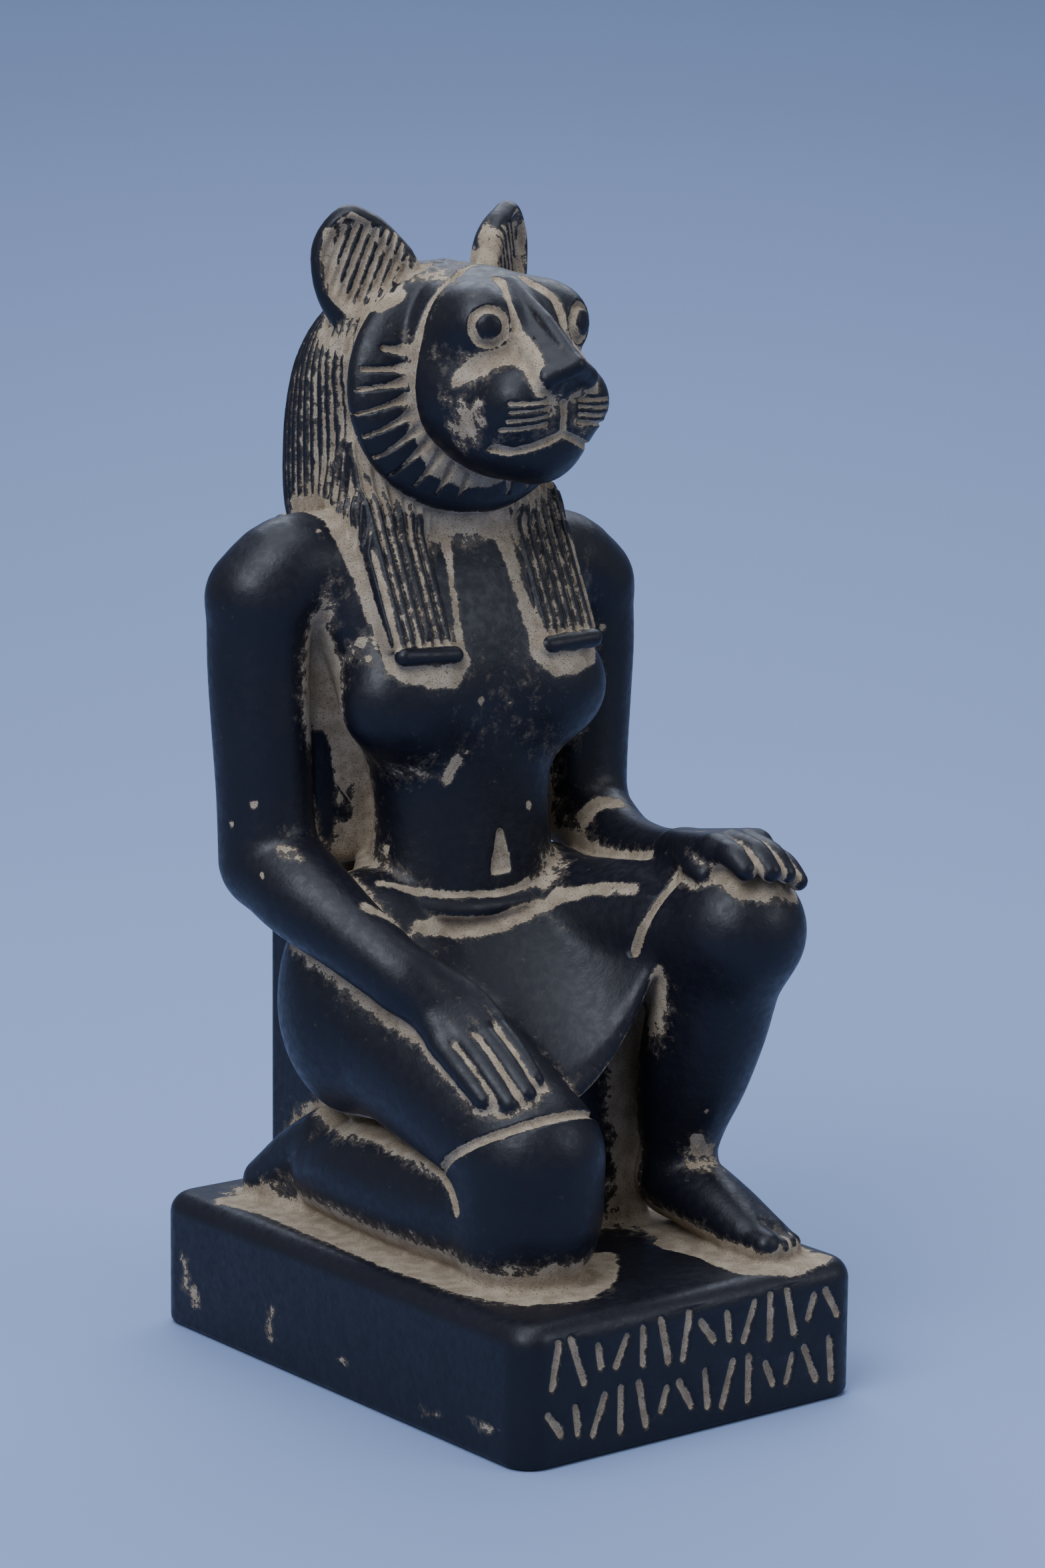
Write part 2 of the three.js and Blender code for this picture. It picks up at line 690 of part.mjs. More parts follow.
function skin(field, low, high, cell) {
  const [nx, ny, nz] = low.map((l, i) => ceil((high[i] - l) / cell) + 1);
  const values = new Float32Array(nx * ny * nz);
  const offset = CORNERS.map(([i, j, k]) => i + nx * (j + ny * k));
  const STEP = 4;
  const live = [];
  for (let k = 0; k < nz; k += STEP)
    for (let j = 0; j < ny; j += STEP)
      for (let i = 0; i < nx; i += STEP) {
        const [x, y, z] = [i, j, k].map((n, axis) => low[axis] + (n + STEP / 2) * cell);
        const middle = field(x, y, z);
        const far = abs(middle) > STEP * cell * 1.5;
        if (!far) live.push([i, j, k]);
        for (let c = k; c < min(k + STEP, nz); c++)
          for (let b = j; b < min(j + STEP, ny); b++)
            for (let a = i; a < min(i + STEP, nx); a++) {
              const here = a + nx * (b + ny * c);
              values[here] = far ? middle : field(low[0] + a * cell, low[1] + b * cell, low[2] + c * cell);
            }
      }
  const points = [];
  const faces = [];
  const known = new Map();
  const corner = (base, p, q) => {
    const [a, b] = p < q ? [p, q] : [q, p];
    const key = (base + offset[a]) * 3 + Math.log2(b - a);
    let id = known.get(key);
    if (id === undefined) {
      const [va, vb] = [values[base + offset[a]], values[base + offset[b]]];
      const t = clamp(va / (va - vb), 0.04, 0.96);
      id = points.length / 3;
      const cellAt = [base % nx, ((base / nx) | 0) % ny, (base / (nx * ny)) | 0];
      for (let axis = 0; axis < 3; axis++) {
        const along = mix(CORNERS[a][axis], CORNERS[b][axis], t);
        points.push(low[axis] + (cellAt[axis] + along) * cell);
      }
      known.set(key, id);
    }
    return id;
  };
  for (const [i0, j0, k0] of live)
    for (let k = k0; k < min(k0 + STEP, nz - 1); k++)
      for (let j = j0; j < min(j0 + STEP, ny - 1); j++)
        for (let i = i0; i < min(i0 + STEP, nx - 1); i++) {
          const base = i + nx * (j + ny * k);
          let inside = 0;
          for (let c = 0; c < 8; c++) if (values[base + offset[c]] < 0) inside |= 1 << c;
          if (inside === 0 || inside === 255) continue;
          const next = new Map();
          for (const ring of FACES) {
            for (let s = 0; s < 4; s++) {
              if ((inside >> ring[s]) & 1 || !((inside >> ring[(s + 1) & 3]) & 1)) continue;
              let e = (s + 1) & 3;
              while ((inside >> ring[(e + 1) & 3]) & 1) e = (e + 1) & 3;
              next.set(corner(base, ring[s], ring[(s + 1) & 3]), corner(base, ring[e], ring[(e + 1) & 3]));
            }
          }
          while (next.size) {
            const first = next.keys().next().value;
            const loop = [];
            for (let at = first; next.has(at); ) {
              loop.push(at);
              const to = next.get(at);
              next.delete(at);
              at = to;
            }
            if (loop.length < 6) {
              for (let s = 2; s < loop.length; s++) faces.push(loop[0], loop[s - 1], loop[s]);
              continue;
            }
            const centre = points.length / 3;
            for (let axis = 0; axis < 3; axis++) {
              points.push(loop.reduce((total, id) => total + points[3 * id + axis], 0) / loop.length);
            }
            loop.forEach((id, s) => faces.push(centre, id, loop[(s + 1) % loop.length]));
          }
        }
  return { points: Float64Array.from(points), faces: Int32Array.from(faces) };
}

// Thinning. Each collapse takes the edge whose merged corner strays least from the planes round it, and
// never folds a face over or pinches the skin.

function thin({ points, faces }, target) {
  const n = points.length / 3;
  const quadrics = new Float64Array(n * 10);
  const around = Array.from({ length: n }, () => []);
  const version = new Int32Array(n);
  const normal = (a, b, c, out) => {
    const ux = points[3 * b] - points[3 * a];
    const uy = points[3 * b + 1] - points[3 * a + 1];
    const uz = points[3 * b + 2] - points[3 * a + 2];
    const vx = points[3 * c] - points[3 * a];
    const vy = points[3 * c + 1] - points[3 * a + 1];
    const vz = points[3 * c + 2] - points[3 * a + 2];
    out[0] = uy * vz - uz * vy;
    out[1] = uz * vx - ux * vz;
    out[2] = ux * vy - uy * vx;
    return hypot(out[0], out[1], out[2]);
  };
  const q = [0, 0, 0];
  for (let f = 0; f < faces.length; f += 3) {
    const trio = [faces[f], faces[f + 1], faces[f + 2]];
    const length = normal(...trio, q);
    for (const v of trio) around[v].push(f);
    if (length < 1e-12) continue;
    const [a, b, c] = q.map((v) => v / length);
    const d = -(a * points[3 * trio[0]] + b * points[3 * trio[0] + 1] + c * points[3 * trio[0] + 2]);
    const terms = [a * a, a * b, a * c, a * d, b * b, b * c, b * d, c * c, c * d, d * d];
    for (const v of trio) for (let i = 0; i < 10; i++) quadrics[v * 10 + i] += terms[i] * length;
  }
  const sum = new Float64Array(10);
  const spot = [0, 0, 0];
  const price = (a, b) => {
    for (let i = 0; i < 10; i++) sum[i] = quadrics[a * 10 + i] + quadrics[b * 10 + i];
    const [xx, xy, xz, xd, yy, yz, yd, zz, zd, dd] = sum;
    const stray = (x, y, z) => {
      const alongX = x * (xx * x + 2 * (xy * y + xz * z + xd));
      return alongX + y * (yy * y + 2 * (yz * z + yd)) + z * (zz * z + 2 * zd) + dd;
    };
    const c0 = yy * zz - yz * yz;
    const c1 = xz * yz - xy * zz;
    const c2 = xy * yz - xz * yy;
    const det = xx * c0 + xy * c1 + xz * c2;
    const [ax, ay, az] = [points[3 * a], points[3 * a + 1], points[3 * a + 2]];
    const [bx, by, bz] = [points[3 * b], points[3 * b + 1], points[3 * b + 2]];
    const reach = hypot(ax - bx, ay - by, az - bz);
    if (abs(det) > 1e-7 * (xx + yy + zz) ** 3) {
      const x = -(xd * c0 + yd * c1 + zd * c2) / det;
      const y = -(xd * c1 + yd * (xx * zz - xz * xz) + zd * (xy * xz - xx * yz)) / det;
      const z = -(xd * c2 + yd * (xy * xz - xx * yz) + zd * (xx * yy - xy * xy)) / det;
      if (hypot(x - (ax + bx) / 2, y - (ay + by) / 2, z - (az + bz) / 2) < reach) {
        spot[0] = x;
        spot[1] = y;
        spot[2] = z;
        return stray(x, y, z) + 1e-5 * reach * reach;
      }
    }
    const options = [0, 0.5, 1].map((t) => [mix(ax, bx, t), mix(ay, by, t), mix(az, bz, t)]);
    const costs = options.map((p) => stray(...p));
    const best = costs.indexOf(min(...costs));
    for (let i = 0; i < 3; i++) spot[i] = options[best][i];
    return costs[best] + 1e-5 * reach * reach;
  };

  // A heap of edges by price, with the versions of their ends when they were priced.
  const heap = [];
  const push = (a, b) => {
    const item = [max(price(a, b), 0), a, b, version[a], version[b]];
    let i = heap.length;
    heap.push(item);
    while (i > 0) {
      const up = (i - 1) >> 1;
      if (heap[up][0] <= item[0]) break;
      heap[i] = heap[up];
      i = up;
    }
    heap[i] = item;
  };
  const pop = () => {
    const top = heap[0];
    const item = heap.pop();
    if (heap.length) {
      let i = 0;
      for (;;) {
        let c = 2 * i + 1;
        if (c >= heap.length) break;
        if (c + 1 < heap.length && heap[c + 1][0] < heap[c][0]) c++;
        if (heap[c][0] >= item[0]) break;
        heap[i] = heap[c];
        i = c;
      }
      heap[i] = item;
    }
    return top;
  };
  for (let f = 0; f < faces.length; f += 3)
    for (let e = 0; e < 3; e++) {
      const [a, b] = [faces[f + e], faces[f + ((e + 1) % 3)]];
      if (a < b) push(a, b);
    }

  const neighbours = (v) => {
    const ring = new Set();
    for (const f of around[v]) for (let e = 0; e < 3; e++) ring.add(faces[f + e]);
    ring.delete(v);
    return ring;
  };
  const folds = (v, other) => {
    const [x, y, z] = [points[3 * v], points[3 * v + 1], points[3 * v + 2]];
    const now = [0, 0, 0];
    const then = [0, 0, 0];
    for (const f of around[v]) {
      const [a, b, c] = [faces[f], faces[f + 1], faces[f + 2]];
      if (a === other || b === other || c === other) continue;
      const before = normal(a, b, c, now);
      points.set(spot, 3 * v);
      const after = normal(a, b, c, then);
      points[3 * v] = x;
      points[3 * v + 1] = y;
      points[3 * v + 2] = z;
      const dot = now[0] * then[0] + now[1] * then[1] + now[2] * then[2];
      if (after < 1e-4 || dot < 0.25 * before * after) return true;
    }
    return false;
  };
  let count = faces.length / 3;
  while (count > target && heap.length) {
    const [, a, b, va, vb] = pop();
    if (version[a] !== va || version[b] !== vb) continue;
    const ring = neighbours(a);
    const others = neighbours(b);
    let shared = 0;
    for (const v of others) if (ring.has(v)) shared++;
    if (shared !== 2 || ring.size + others.size < 8) continue;
    price(a, b);
    if (folds(a, b) || folds(b, a)) continue;
    points.set(spot, 3 * a);
    for (let i = 0; i < 10; i++) quadrics[a * 10 + i] += quadrics[b * 10 + i];
    const kept = around[a].filter((f) => faces[f] !== b && faces[f + 1] !== b && faces[f + 2] !== b);
    for (const f of around[b]) {
      let gone = false;
      for (let e = 0; e < 3; e++) if (faces[f + e] === a) gone = true;
      if (gone) {
        for (let e = 0; e < 3; e++) {
          const v = faces[f + e];
          if (v !== a && v !== b) around[v].splice(around[v].indexOf(f), 1);
          faces[f + e] = -1;
        }
        count--;
      } else {
        for (let e = 0; e < 3; e++) if (faces[f + e] === b) faces[f + e] = a;
        kept.push(f);
      }
    }
    around[a] = kept;
    around[b] = [];
    version[a]++;
    version[b] = -1;
    for (const v of neighbours(a)) push(a, v);
  }
  const used = new Map();
  const spots = [];
  const index = [];
  for (const v of faces) {
    if (v < 0) continue;
    if (!used.has(v)) {
      used.set(v, spots.length / 3);
      spots.push(points[3 * v], points[3 * v + 1], points[3 * v + 2]);
    }
    index.push(used.get(v));
  }
  return { spots, index };
}

// The part. It stands on z = 0, and its underside is one flat plane.

const FLAT = 0.03;
const { spots, index } = thin(skin(statue, SPACE.low, SPACE.high, CELL), TRIANGLES);
for (let i = 2; i < spots.length; i += 3) {
  const height = spots[i] - PLINTH.bottom;
  spots[i] = height < FLAT ? 0 : height;
}
const geometry = new THREE.BufferGeometry();
geometry.setAttribute("position", new THREE.Float32BufferAttribute(spots, 3));
geometry.setIndex(index);
geometry.computeVertexNormals();
const paint = new THREE.MeshStandardMaterial({ color: 0x1b1e2a, roughness: 0.5 });
const mesh = new THREE.Mesh(geometry, paint);
mesh.name = "statue";
const group = new THREE.Group();
group.add(mesh);
export default group;
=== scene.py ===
# A kneeling lioness-headed goddess: a small statue cast in one piece with its back pillar and its plinth,
# painted a satin blue-black and rubbed with sandy clay that stays in the carving.
# Sizes are millimetres in the frame of the part: +Z up, she faces -Y, and her left hand is at +X.
from concurrent.futures import ThreadPoolExecutor

import bmesh
import bpy
import numpy as np
from mathutils import Euler, Matrix, Vector


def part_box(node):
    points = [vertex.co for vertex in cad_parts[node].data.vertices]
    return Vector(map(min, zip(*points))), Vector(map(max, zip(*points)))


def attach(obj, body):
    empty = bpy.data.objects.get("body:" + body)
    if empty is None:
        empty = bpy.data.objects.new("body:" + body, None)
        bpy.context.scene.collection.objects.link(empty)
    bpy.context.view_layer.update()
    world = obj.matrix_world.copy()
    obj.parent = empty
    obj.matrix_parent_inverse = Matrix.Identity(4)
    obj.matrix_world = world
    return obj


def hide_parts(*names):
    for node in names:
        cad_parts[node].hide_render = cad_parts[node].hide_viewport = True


MM = 0.001
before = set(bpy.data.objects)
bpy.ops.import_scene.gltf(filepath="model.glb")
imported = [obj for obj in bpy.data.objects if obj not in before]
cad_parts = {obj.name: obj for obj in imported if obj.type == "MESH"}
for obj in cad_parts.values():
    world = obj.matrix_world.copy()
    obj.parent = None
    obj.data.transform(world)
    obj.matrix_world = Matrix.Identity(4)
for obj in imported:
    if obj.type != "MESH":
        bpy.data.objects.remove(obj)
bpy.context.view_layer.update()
low_corner, high_corner = (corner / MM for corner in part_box("statue"))


# The plinth. A rectangular block with rounded corners and a softened top edge, cast with the figure. Its
# form, like every other one, is a function: the distance from a point to the surface, negative inside.

class Spots:
    """Points to measure at, and the box that they lie in."""

    def __init__(self, x, y, z):
        self.x = x
        self.y = y
        self.z = z
        self.low = np.array([x.min(), y.min(), z.min()])
        self.high = np.array([x.max(), y.max(), z.max()])


REACH = 9.0  # forms further away than this don't touch a surface


def length(*parts):
    return np.sqrt(sum(part * part for part in parts))


def ease(start, end, value):
    t = np.clip((value - start) / (end - start), 0, 1)
    return t * t * (3 - 2 * t)


def melt(a, b, k):
    """The nearer of two surfaces, flowing into each other within k."""
    near = np.maximum(k - np.abs(a - b), 0) / k
    return np.minimum(a, b) - near * near * k / 4


def join(k, *forms):
    def joined(p):
        d = None
        for form in forms:
            e = form(p)
            if e is not None:
                d = e if d is None else melt(d, e, k)
        return d
    return joined


def overlap(k, *forms):
    def common(p):
        d = None
        for form in forms:
            e = form(p)
            if e is None:
                return None
            d = -e if d is None else melt(d, -e, k)
        return -d
    return common


def without(k, form, cutter):
    def cut(p):
        d = form(p)
        e = cutter(p)
        return d if d is None or e is None else -melt(-d, e, k)
    return cut


def near(low, high, form):
    """Answers only where the points come within reach of the form's box."""
    low = np.array(low, float)
    high = np.array(high, float)

    def nearby(p):
        gap = np.maximum(np.maximum(low - p.high, p.low - high), 0)
        return None if np.linalg.norm(gap) > REACH else form(p)
    return nearby


plinth_bottom = -0.8
plinth_half_depth = (high_corner.y - low_corner.y) / 2
plinth_half_width = plinth_half_depth - 21.8
plinth_top = 30.7
plinth_corner = 7
plinth_arris = 5
plinth_foot = 1.8


def plinth(p):
    qx = np.abs(p.x) - plinth_half_width + plinth_corner
    qy = np.abs(p.y) - plinth_half_depth + plinth_corner
    wall = length(np.maximum(qx, 0), np.maximum(qy, 0)) + np.minimum(np.maximum(qx, qy), 0) - plinth_corner
    middle = (plinth_top + plinth_bottom) / 2
    r = np.where(p.z > middle, plinth_arris, plinth_foot)
    lid = np.abs(p.z - middle) - (plinth_top - plinth_bottom) / 2
    outside = length(np.maximum(wall + r, 0), np.maximum(lid + r, 0))
    return outside + np.minimum(np.maximum(wall, lid) + r, 0) - r


# The back pillar. A plain slab from the plinth to the nape of the wig, as on carved figures of this kind.

def placed(form, centre, degrees=(0, 0, 0)):
    turn = np.array(Euler(np.radians(degrees)).to_matrix())
    cx, cy, cz = centre

    def moved(p):
        x, y, z = p.x - cx, p.y - cy, p.z - cz
        return form(Spots(*(turn[0, i] * x + turn[1, i] * y + turn[2, i] * z for i in range(3))))
    return moved


def block(centre, half, edge, degrees=(0, 0, 0)):
    def square(p):
        qx, qy, qz = (np.abs(v) - h + edge for v, h in zip((p.x, p.y, p.z), half))
        outside = length(np.maximum(qx, 0), np.maximum(qy, 0), np.maximum(qz, 0))
        return outside + np.minimum(np.maximum(np.maximum(qx, qy), qz), 0) - edge
    return placed(square, centre, degrees)


pillar_top = 188.5
pillar_front = 34
pillar_back = 61.5
pillar = block(
    (0, (pillar_front + pillar_back) / 2, pillar_top / 2 + 6),
    (22, (pillar_back - pillar_front) / 2, pillar_top / 2 - 6),
    2.5,
)


# Her right leg kneels: hip, thigh, the knee on the ground, the calf under the thigh, and the foot standing
# on its toes behind. Limbs are balls of changing size swept along a curve; bulky parts are ovals.

def limb(start, end):
    """A round-ended limb from ball to ball: x, y, z, radius."""
    a, b = np.array(start, float), np.array(end, float)
    along = b[:3] - a[:3]
    reach = np.linalg.norm(along)
    ux, uy, uz = along / reach
    lean = (a[3] - b[3]) / reach
    side = np.sqrt(1 - lean * lean)

    def distance(p):
        x, y, z = p.x - a[0], p.y - a[1], p.z - a[2]
        s = x * ux + y * uy + z * uz
        far = x * x + y * y + z * z
        h = np.sqrt(np.maximum(far - s * s, 0))
        d = h * side + s * lean - a[3]
        foot = s * side - h * lean
        root = foot < 0
        tip = foot > reach * side
        d[root] = np.sqrt(far[root]) - a[3]
        d[tip] = np.sqrt((s[tip] - reach) ** 2 + h[tip] ** 2) - b[3]
        return d
    low = np.minimum(a[:3] - a[3], b[:3] - b[3])
    high = np.maximum(a[:3] + a[3], b[:3] + b[3])
    return near(low, high, distance)


def hard_join(forms):
    def joined(p):
        found = [d for d in (form(p) for form in forms) if d is not None]
        return np.minimum.reduce(found) if found else None
    return joined


def curve(p0, p1, p2, p3, steps):
    """Points of a smooth curve from p1 to just before p2."""
    t = np.arange(steps)[:, None] / steps
    bend = (2 * p0 - 5 * p1 + 4 * p2 - p3) * t * t + (3 * p1 - p0 - 3 * p2 + p3) * t**3
    return list((2 * p1 + (p2 - p0) * t + bend) / 2)


def sweep(*stops):
    """A smooth limb through balls: x, y, z, radius."""
    stops = np.array(stops, float)
    last = len(stops) - 1
    balls = []
    for i in range(last):
        balls += curve(*(stops[min(max(i + j, 0), last)] for j in (-1, 0, 1, 2)), 4 if last > 1 else 1)
    balls.append(stops[last])
    return hard_join([limb(a, b) for a, b in zip(balls, balls[1:])])


def egg(centre, radii, degrees=(0, 0, 0)):
    rx, ry, rz = radii
    span = max(radii)

    def oval(p):
        k0 = length(p.x / rx, p.y / ry, p.z / rz)
        k1 = length(p.x / rx**2, p.y / ry**2, p.z / rz**2)
        return k0 * (k0 - 1) / np.maximum(k1, 1e-6)
    return near(np.subtract(centre, span), np.add(centre, span), placed(oval, centre, degrees))


def plate(pad, *outline):
    """A flat fan of corners, padded all round."""
    corners = np.array(outline, float)
    fan = [(corners[0], corners[i], corners[i + 1]) for i in range(1, len(corners) - 1)]

    def edge_gap(p, a, b):
        x, y, z = p.x - a[0], p.y - a[1], p.z - a[2]
        dx, dy, dz = b - a
        t = np.clip((x * dx + y * dy + z * dz) / (dx * dx + dy * dy + dz * dz), 0, 1)
        return (x - t * dx) ** 2 + (y - t * dy) ** 2 + (z - t * dz) ** 2

    def triangle_gap(p, a, b, c):
        gap = np.minimum(np.minimum(edge_gap(p, a, b), edge_gap(p, b, c)), edge_gap(p, c, a))
        across = np.cross(b - a, c - a)
        size = across @ across
        if size > 1e-9:
            over = np.ones(len(p.x), bool)
            for start, end in ((a, b), (b, c), (c, a)):
                wall = np.cross(across, end - start)
                inside = (p.x - start[0]) * wall[0] + (p.y - start[1]) * wall[1] + (p.z - start[2]) * wall[2]
                over &= inside > 0
            flat = (p.x - a[0]) * across[0] + (p.y - a[1]) * across[1] + (p.z - a[2]) * across[2]
            gap = np.where(over, flat * flat / size, gap)
        return gap

    def distance(p):
        return np.sqrt(np.minimum.reduce([triangle_gap(p, *three) for three in fan])) - pad
    return near(corners.min(0) - pad, corners.max(0) + pad, distance)


right_hip = egg((-24, 17, 84), (21.5, 21.5, 29))
right_thigh = sweep((-24, 14, 80, 20), (-24, -8, 72.5, 18.2), (-23.5, -26, 65, 17), (-22.8, -38, 58.5, 16))
right_knee = sweep((-22.5, -38.5, 57.5, 16.3), (-22.5, -38.5, 46, 16.3), (-22.5, -37, 38, 14.5))
right_calf = sweep((-23, -34, 44, 15), (-24.5, -8, 43.5, 14.8), (-25.5, 14, 43, 13), (-26.2, 28, 41, 10.2))
right_foot = join(
    3,
    sweep((-26.8, 30, 48.6, 7), (-27.8, 41.6, 42, 6.2), (-29.4, 52, 34.2, 4.9)),
    plate(4.9, (-26.6, 36, 42), (-29.2, 51, 33), (-26.6, 32, 32)),
)


# Her left leg is raised: the thigh level, the shin upright, and the bare foot flat on the plinth.

left_hip = egg((22, 17, 88), (22, 22, 26))
left_thigh = sweep((23, 12, 92, 19.5), (28, -18, 98, 16), (32, -43, 102.4, 14.4))
left_shin = sweep(
    (32, -43, 102.4, 14.4),
    (31.8, -37.6, 92, 13.7),
    (31.8, -33.6, 80, 13.3),
    (31.6, -29.6, 68, 12.1),
    (31.6, -26, 58, 10.2),
    (31.8, -24.8, 50, 8.4),
    (32, -24, 42, 8.4),
)
left_foot = join(
    2.5,
    sweep((31.6, -23.4, 41.4, 8.6), (30, -39, 38.6, 7.4), (28.8, -51, 35.6, 5.3)),
    sweep((33.2, -25, 40, 7.8), (33.8, -41, 37.2, 6.2), (34.2, -53, 34.4, 4.2)),
)
toes = join(
    0.7,
    sweep((28.2, -49, 35.2, 4.2), (27.8, -59.6, 34.2, 3.5)),
    sweep((31.4, -51, 35, 2.9), (31.6, -60.4, 33.4, 2.3)),
    sweep((34.2, -51, 34.8, 2.8), (34.8, -59.4, 33.2, 2.2)),
    sweep((36.8, -49, 34, 2.7), (37.6, -57, 32.8, 2.2)),
)


# The kilt. Its cloth is stretched between the thighs and sags to a hem; the casting is solid between the legs
# behind it, and the lap fills the space under the belly.

hem = -33.5
leg_web = join(3, block((5, 10, 56), (27, 26, 30), 4), egg((0, 20, 87), (25, 16, 12)))


def kilt(p):
    s = np.clip((p.x + 20) / 42, -0.2, 1.15)
    right = 97 + 0.72 * np.minimum(p.y, 0)
    left = 108.5 - 0.04 * p.y
    sag = 15 * np.clip(-p.y / 33, 0, 1.2) * 4 * s * (1 - s)
    top = right + (left - right) * s - sag
    slope = np.hypot(1, 0.85)
    above = (p.z - top) / slope
    below = (top - 5.5 + 0.5 * (hem - p.y) - p.z) / slope
    front = hem - 0.6 * s - p.y
    sides = np.maximum(np.abs(p.x - 1) - 25, p.y - 7)
    return -melt(melt(melt(-above, -front, 3), -below, 2), -sides, 2)


# The torso. Level ovals stacked from the hips to the neck, with the breasts and the shoulders, and the web
# that the mould left between the arms and the body.

def stack(rows, squareness=2.0):
    """An upright form with oval level sections: rows of z, half width, half depth, y of the middle."""
    rows = np.array(rows, float)
    heights = rows[:, 0]
    rise = np.gradient(rows[:, 1:], heights, axis=0)
    rise[1:-1] = (rows[2:, 1:] - rows[:-2, 1:]) / (heights[2:] - heights[:-2])[:, None]

    def distance(p):
        level = np.clip(p.z, heights[0], heights[-1])
        i = np.clip(np.searchsorted(heights, level, side="left") - 1, 0, len(rows) - 2)
        span = heights[i + 1] - heights[i]
        t = (level - heights[i]) / span

        def value(j):
            start, end = rows[i, j + 1], rows[i + 1, j + 1]
            bow = (1 - t) * rise[i, j] * span - t * rise[i + 1, j] * span
            return start + (end - start) * (3 - 2 * t) * t * t + t * (1 - t) * bow
        a = value(0)
        b = value(1)
        u = np.abs(p.x) / a
        v = np.abs(p.y - value(2)) / b
        slope = rise[i, 0] + (rise[i + 1, 0] - rise[i, 0]) * t
        k0 = (u**squareness + v**squareness) ** (1 / squareness)
        steep = length(u ** (squareness - 1) / a, v ** (squareness - 1) / b) * np.hypot(1, slope)
        side = np.where(
            k0 > 1e-6,
            (k0 - 1) * k0 ** (squareness - 1) / np.maximum(steep, 1e-9),
            -np.minimum(a, b),
        )
        over = np.abs(p.z - level)
        return np.where(side > 0, np.hypot(side, over), np.where(over > 0, np.maximum(side, over), side))
    return distance


def mirrored(form):
    return lambda p: form(Spots(np.abs(p.x), p.y, p.z))


torso = stack(
    [
        (88, 29, 16, 21),
        (97, 28.5, 17.5, 19.5),
        (106, 25, 16.8, 17.6),
        (114, 22.5, 15, 16.2),
        (124, 21.5, 14, 16),
        (134, 22.5, 14.5, 16.8),
        (145, 26, 16, 18),
        (157, 31, 17.6, 19.8),
        (168, 35, 17.4, 22),
        (179, 36, 15.5, 24.6),
        (188, 28, 12.6, 26.6),
        (198, 15, 11, 27),
    ],
    2.35,
)
breasts = mirrored(egg((19.4, 11.2, 151.5), (15.8, 11.6, 13.5)))
shoulders = join(
    3,
    sweep((-24, 28, 182.6, 10), (-38, 29.4, 180, 12.3), (-45, 30.6, 174.2, 12.4)),
    sweep((24, 28, 181, 10), (38, 29, 176.6, 12), (45.2, 30, 170.6, 12.2)),
)
arm_web = block((0, 35, 150), (38, 8, 38), 4)


def belt(p):
    line = 104.6 + 0.3 * (p.y - 0.8)
    return length(torso(p) - 0.2, (p.z - line) * 0.95) - 2.4


navel = plate(0.9, (0, 1.6, 121), (-1.9, 1.4, 112.6), (1.9, 1.4, 112.6))


# Her right arm hangs and reaches forward, and the hand lies on the kneeling thigh.

right_arm = join(
    2,
    sweep(
        (-45.4, 30.6, 174, 11.9),
        (-45.3, 31.5, 160, 11.4),
        (-45, 31, 146, 11.1),
        (-44.2, 30.8, 130, 10.8),
        (-43.6, 30.2, 115.4, 11.2),
    ),
    sweep(
        (-43.2, 28, 114, 11),
        (-42.8, 17, 109, 10.6),
        (-40.5, 4, 102.6, 8.8),
        (-37.2, -9, 95.6, 7.6),
        (-35, -15, 91, 5.6),
    ),
)
wrist = (-35.2, -11, 93.8, 6)
right_palm = join(
    3,
    sweep(wrist, (-34.6, -19, 86.6, 4.2), (-35.3, -24.6, 81.6, 2.9)),
    sweep(wrist, (-31.6, -18.6, 88.6, 4.6), (-31.9, -26, 83.8, 3)),
    sweep(wrist, (-28, -18.4, 89.6, 4.6), (-27.6, -27, 84.9, 3)),
    sweep(wrist, (-24.6, -18, 89.4, 4.2), (-22.6, -26, 85.2, 2.9)),
)
right_fingers = join(
    0.5,
    sweep((-35.6, -23, 82.4, 2.7), (-35.6, -31.6, 77.4, 2.6), (-35.1, -38.8, 72.5, 2.2)),
    sweep((-32, -24.2, 84.8, 2.7), (-32.2, -34.4, 78.6, 2.6), (-31.8, -43.2, 72.1, 2.3)),
    sweep((-27.6, -25.4, 85.6, 2.7), (-27.8, -35.6, 79.9, 2.6), (-27.8, -44, 74, 2.3)),
    sweep((-22.8, -25, 85.8, 2.6), (-23.3, -34.1, 81.2, 2.4), (-24, -42, 76.2, 2.1)),
)
right_limb = near(
    (-60, -50, 60),
    (-14, 46, 190),
    join(0.8, join(2, right_arm, right_palm), right_fingers),
)


# Her left arm is bent, and the hand lies over the raised knee with the fingers just past it.

left_arm = join(
    2,
    sweep(
        (45.6, 30.6, 171, 12.2),
        (46.4, 30.4, 158, 11.9),
        (46, 30, 146, 11.5),
        (44.8, 29, 130, 11.1),
        (43.8, 27, 119, 10.6),
    ),
    sweep((43.4, 24, 117, 10.2), (40.6, 9, 112.2, 8.8), (36.6, -8, 112.8, 7.2), (33, -22, 115.2, 6.4)),
)
left_palm = plate(4.2, (31, -23, 117.6), (26, -43, 120.6), (37, -43, 120.6), (35, -23, 117.6))
left_fingers = join(
    0.6,
    sweep((25.8, -42, 121.4, 3.2), (25, -49, 121, 3), (25, -53.6, 118.4, 2.5)),
    sweep((30, -43, 122.2, 3.2), (29.6, -51.4, 121.4, 3), (29.8, -56.4, 118, 2.4)),
    sweep((34.4, -43, 121.8, 3.1), (34.4, -51.2, 120.4, 2.9), (34.8, -55.8, 117, 2.3)),
    sweep((38.4, -41, 119.4, 2.9), (39, -50, 118, 2.6), (39.2, -55, 114.6, 2.2)),
)
left_thumb = sweep((27.6, -32, 116.8, 3.6), (23.6, -38, 117, 3), (22.8, -42.4, 115.8, 2.4))
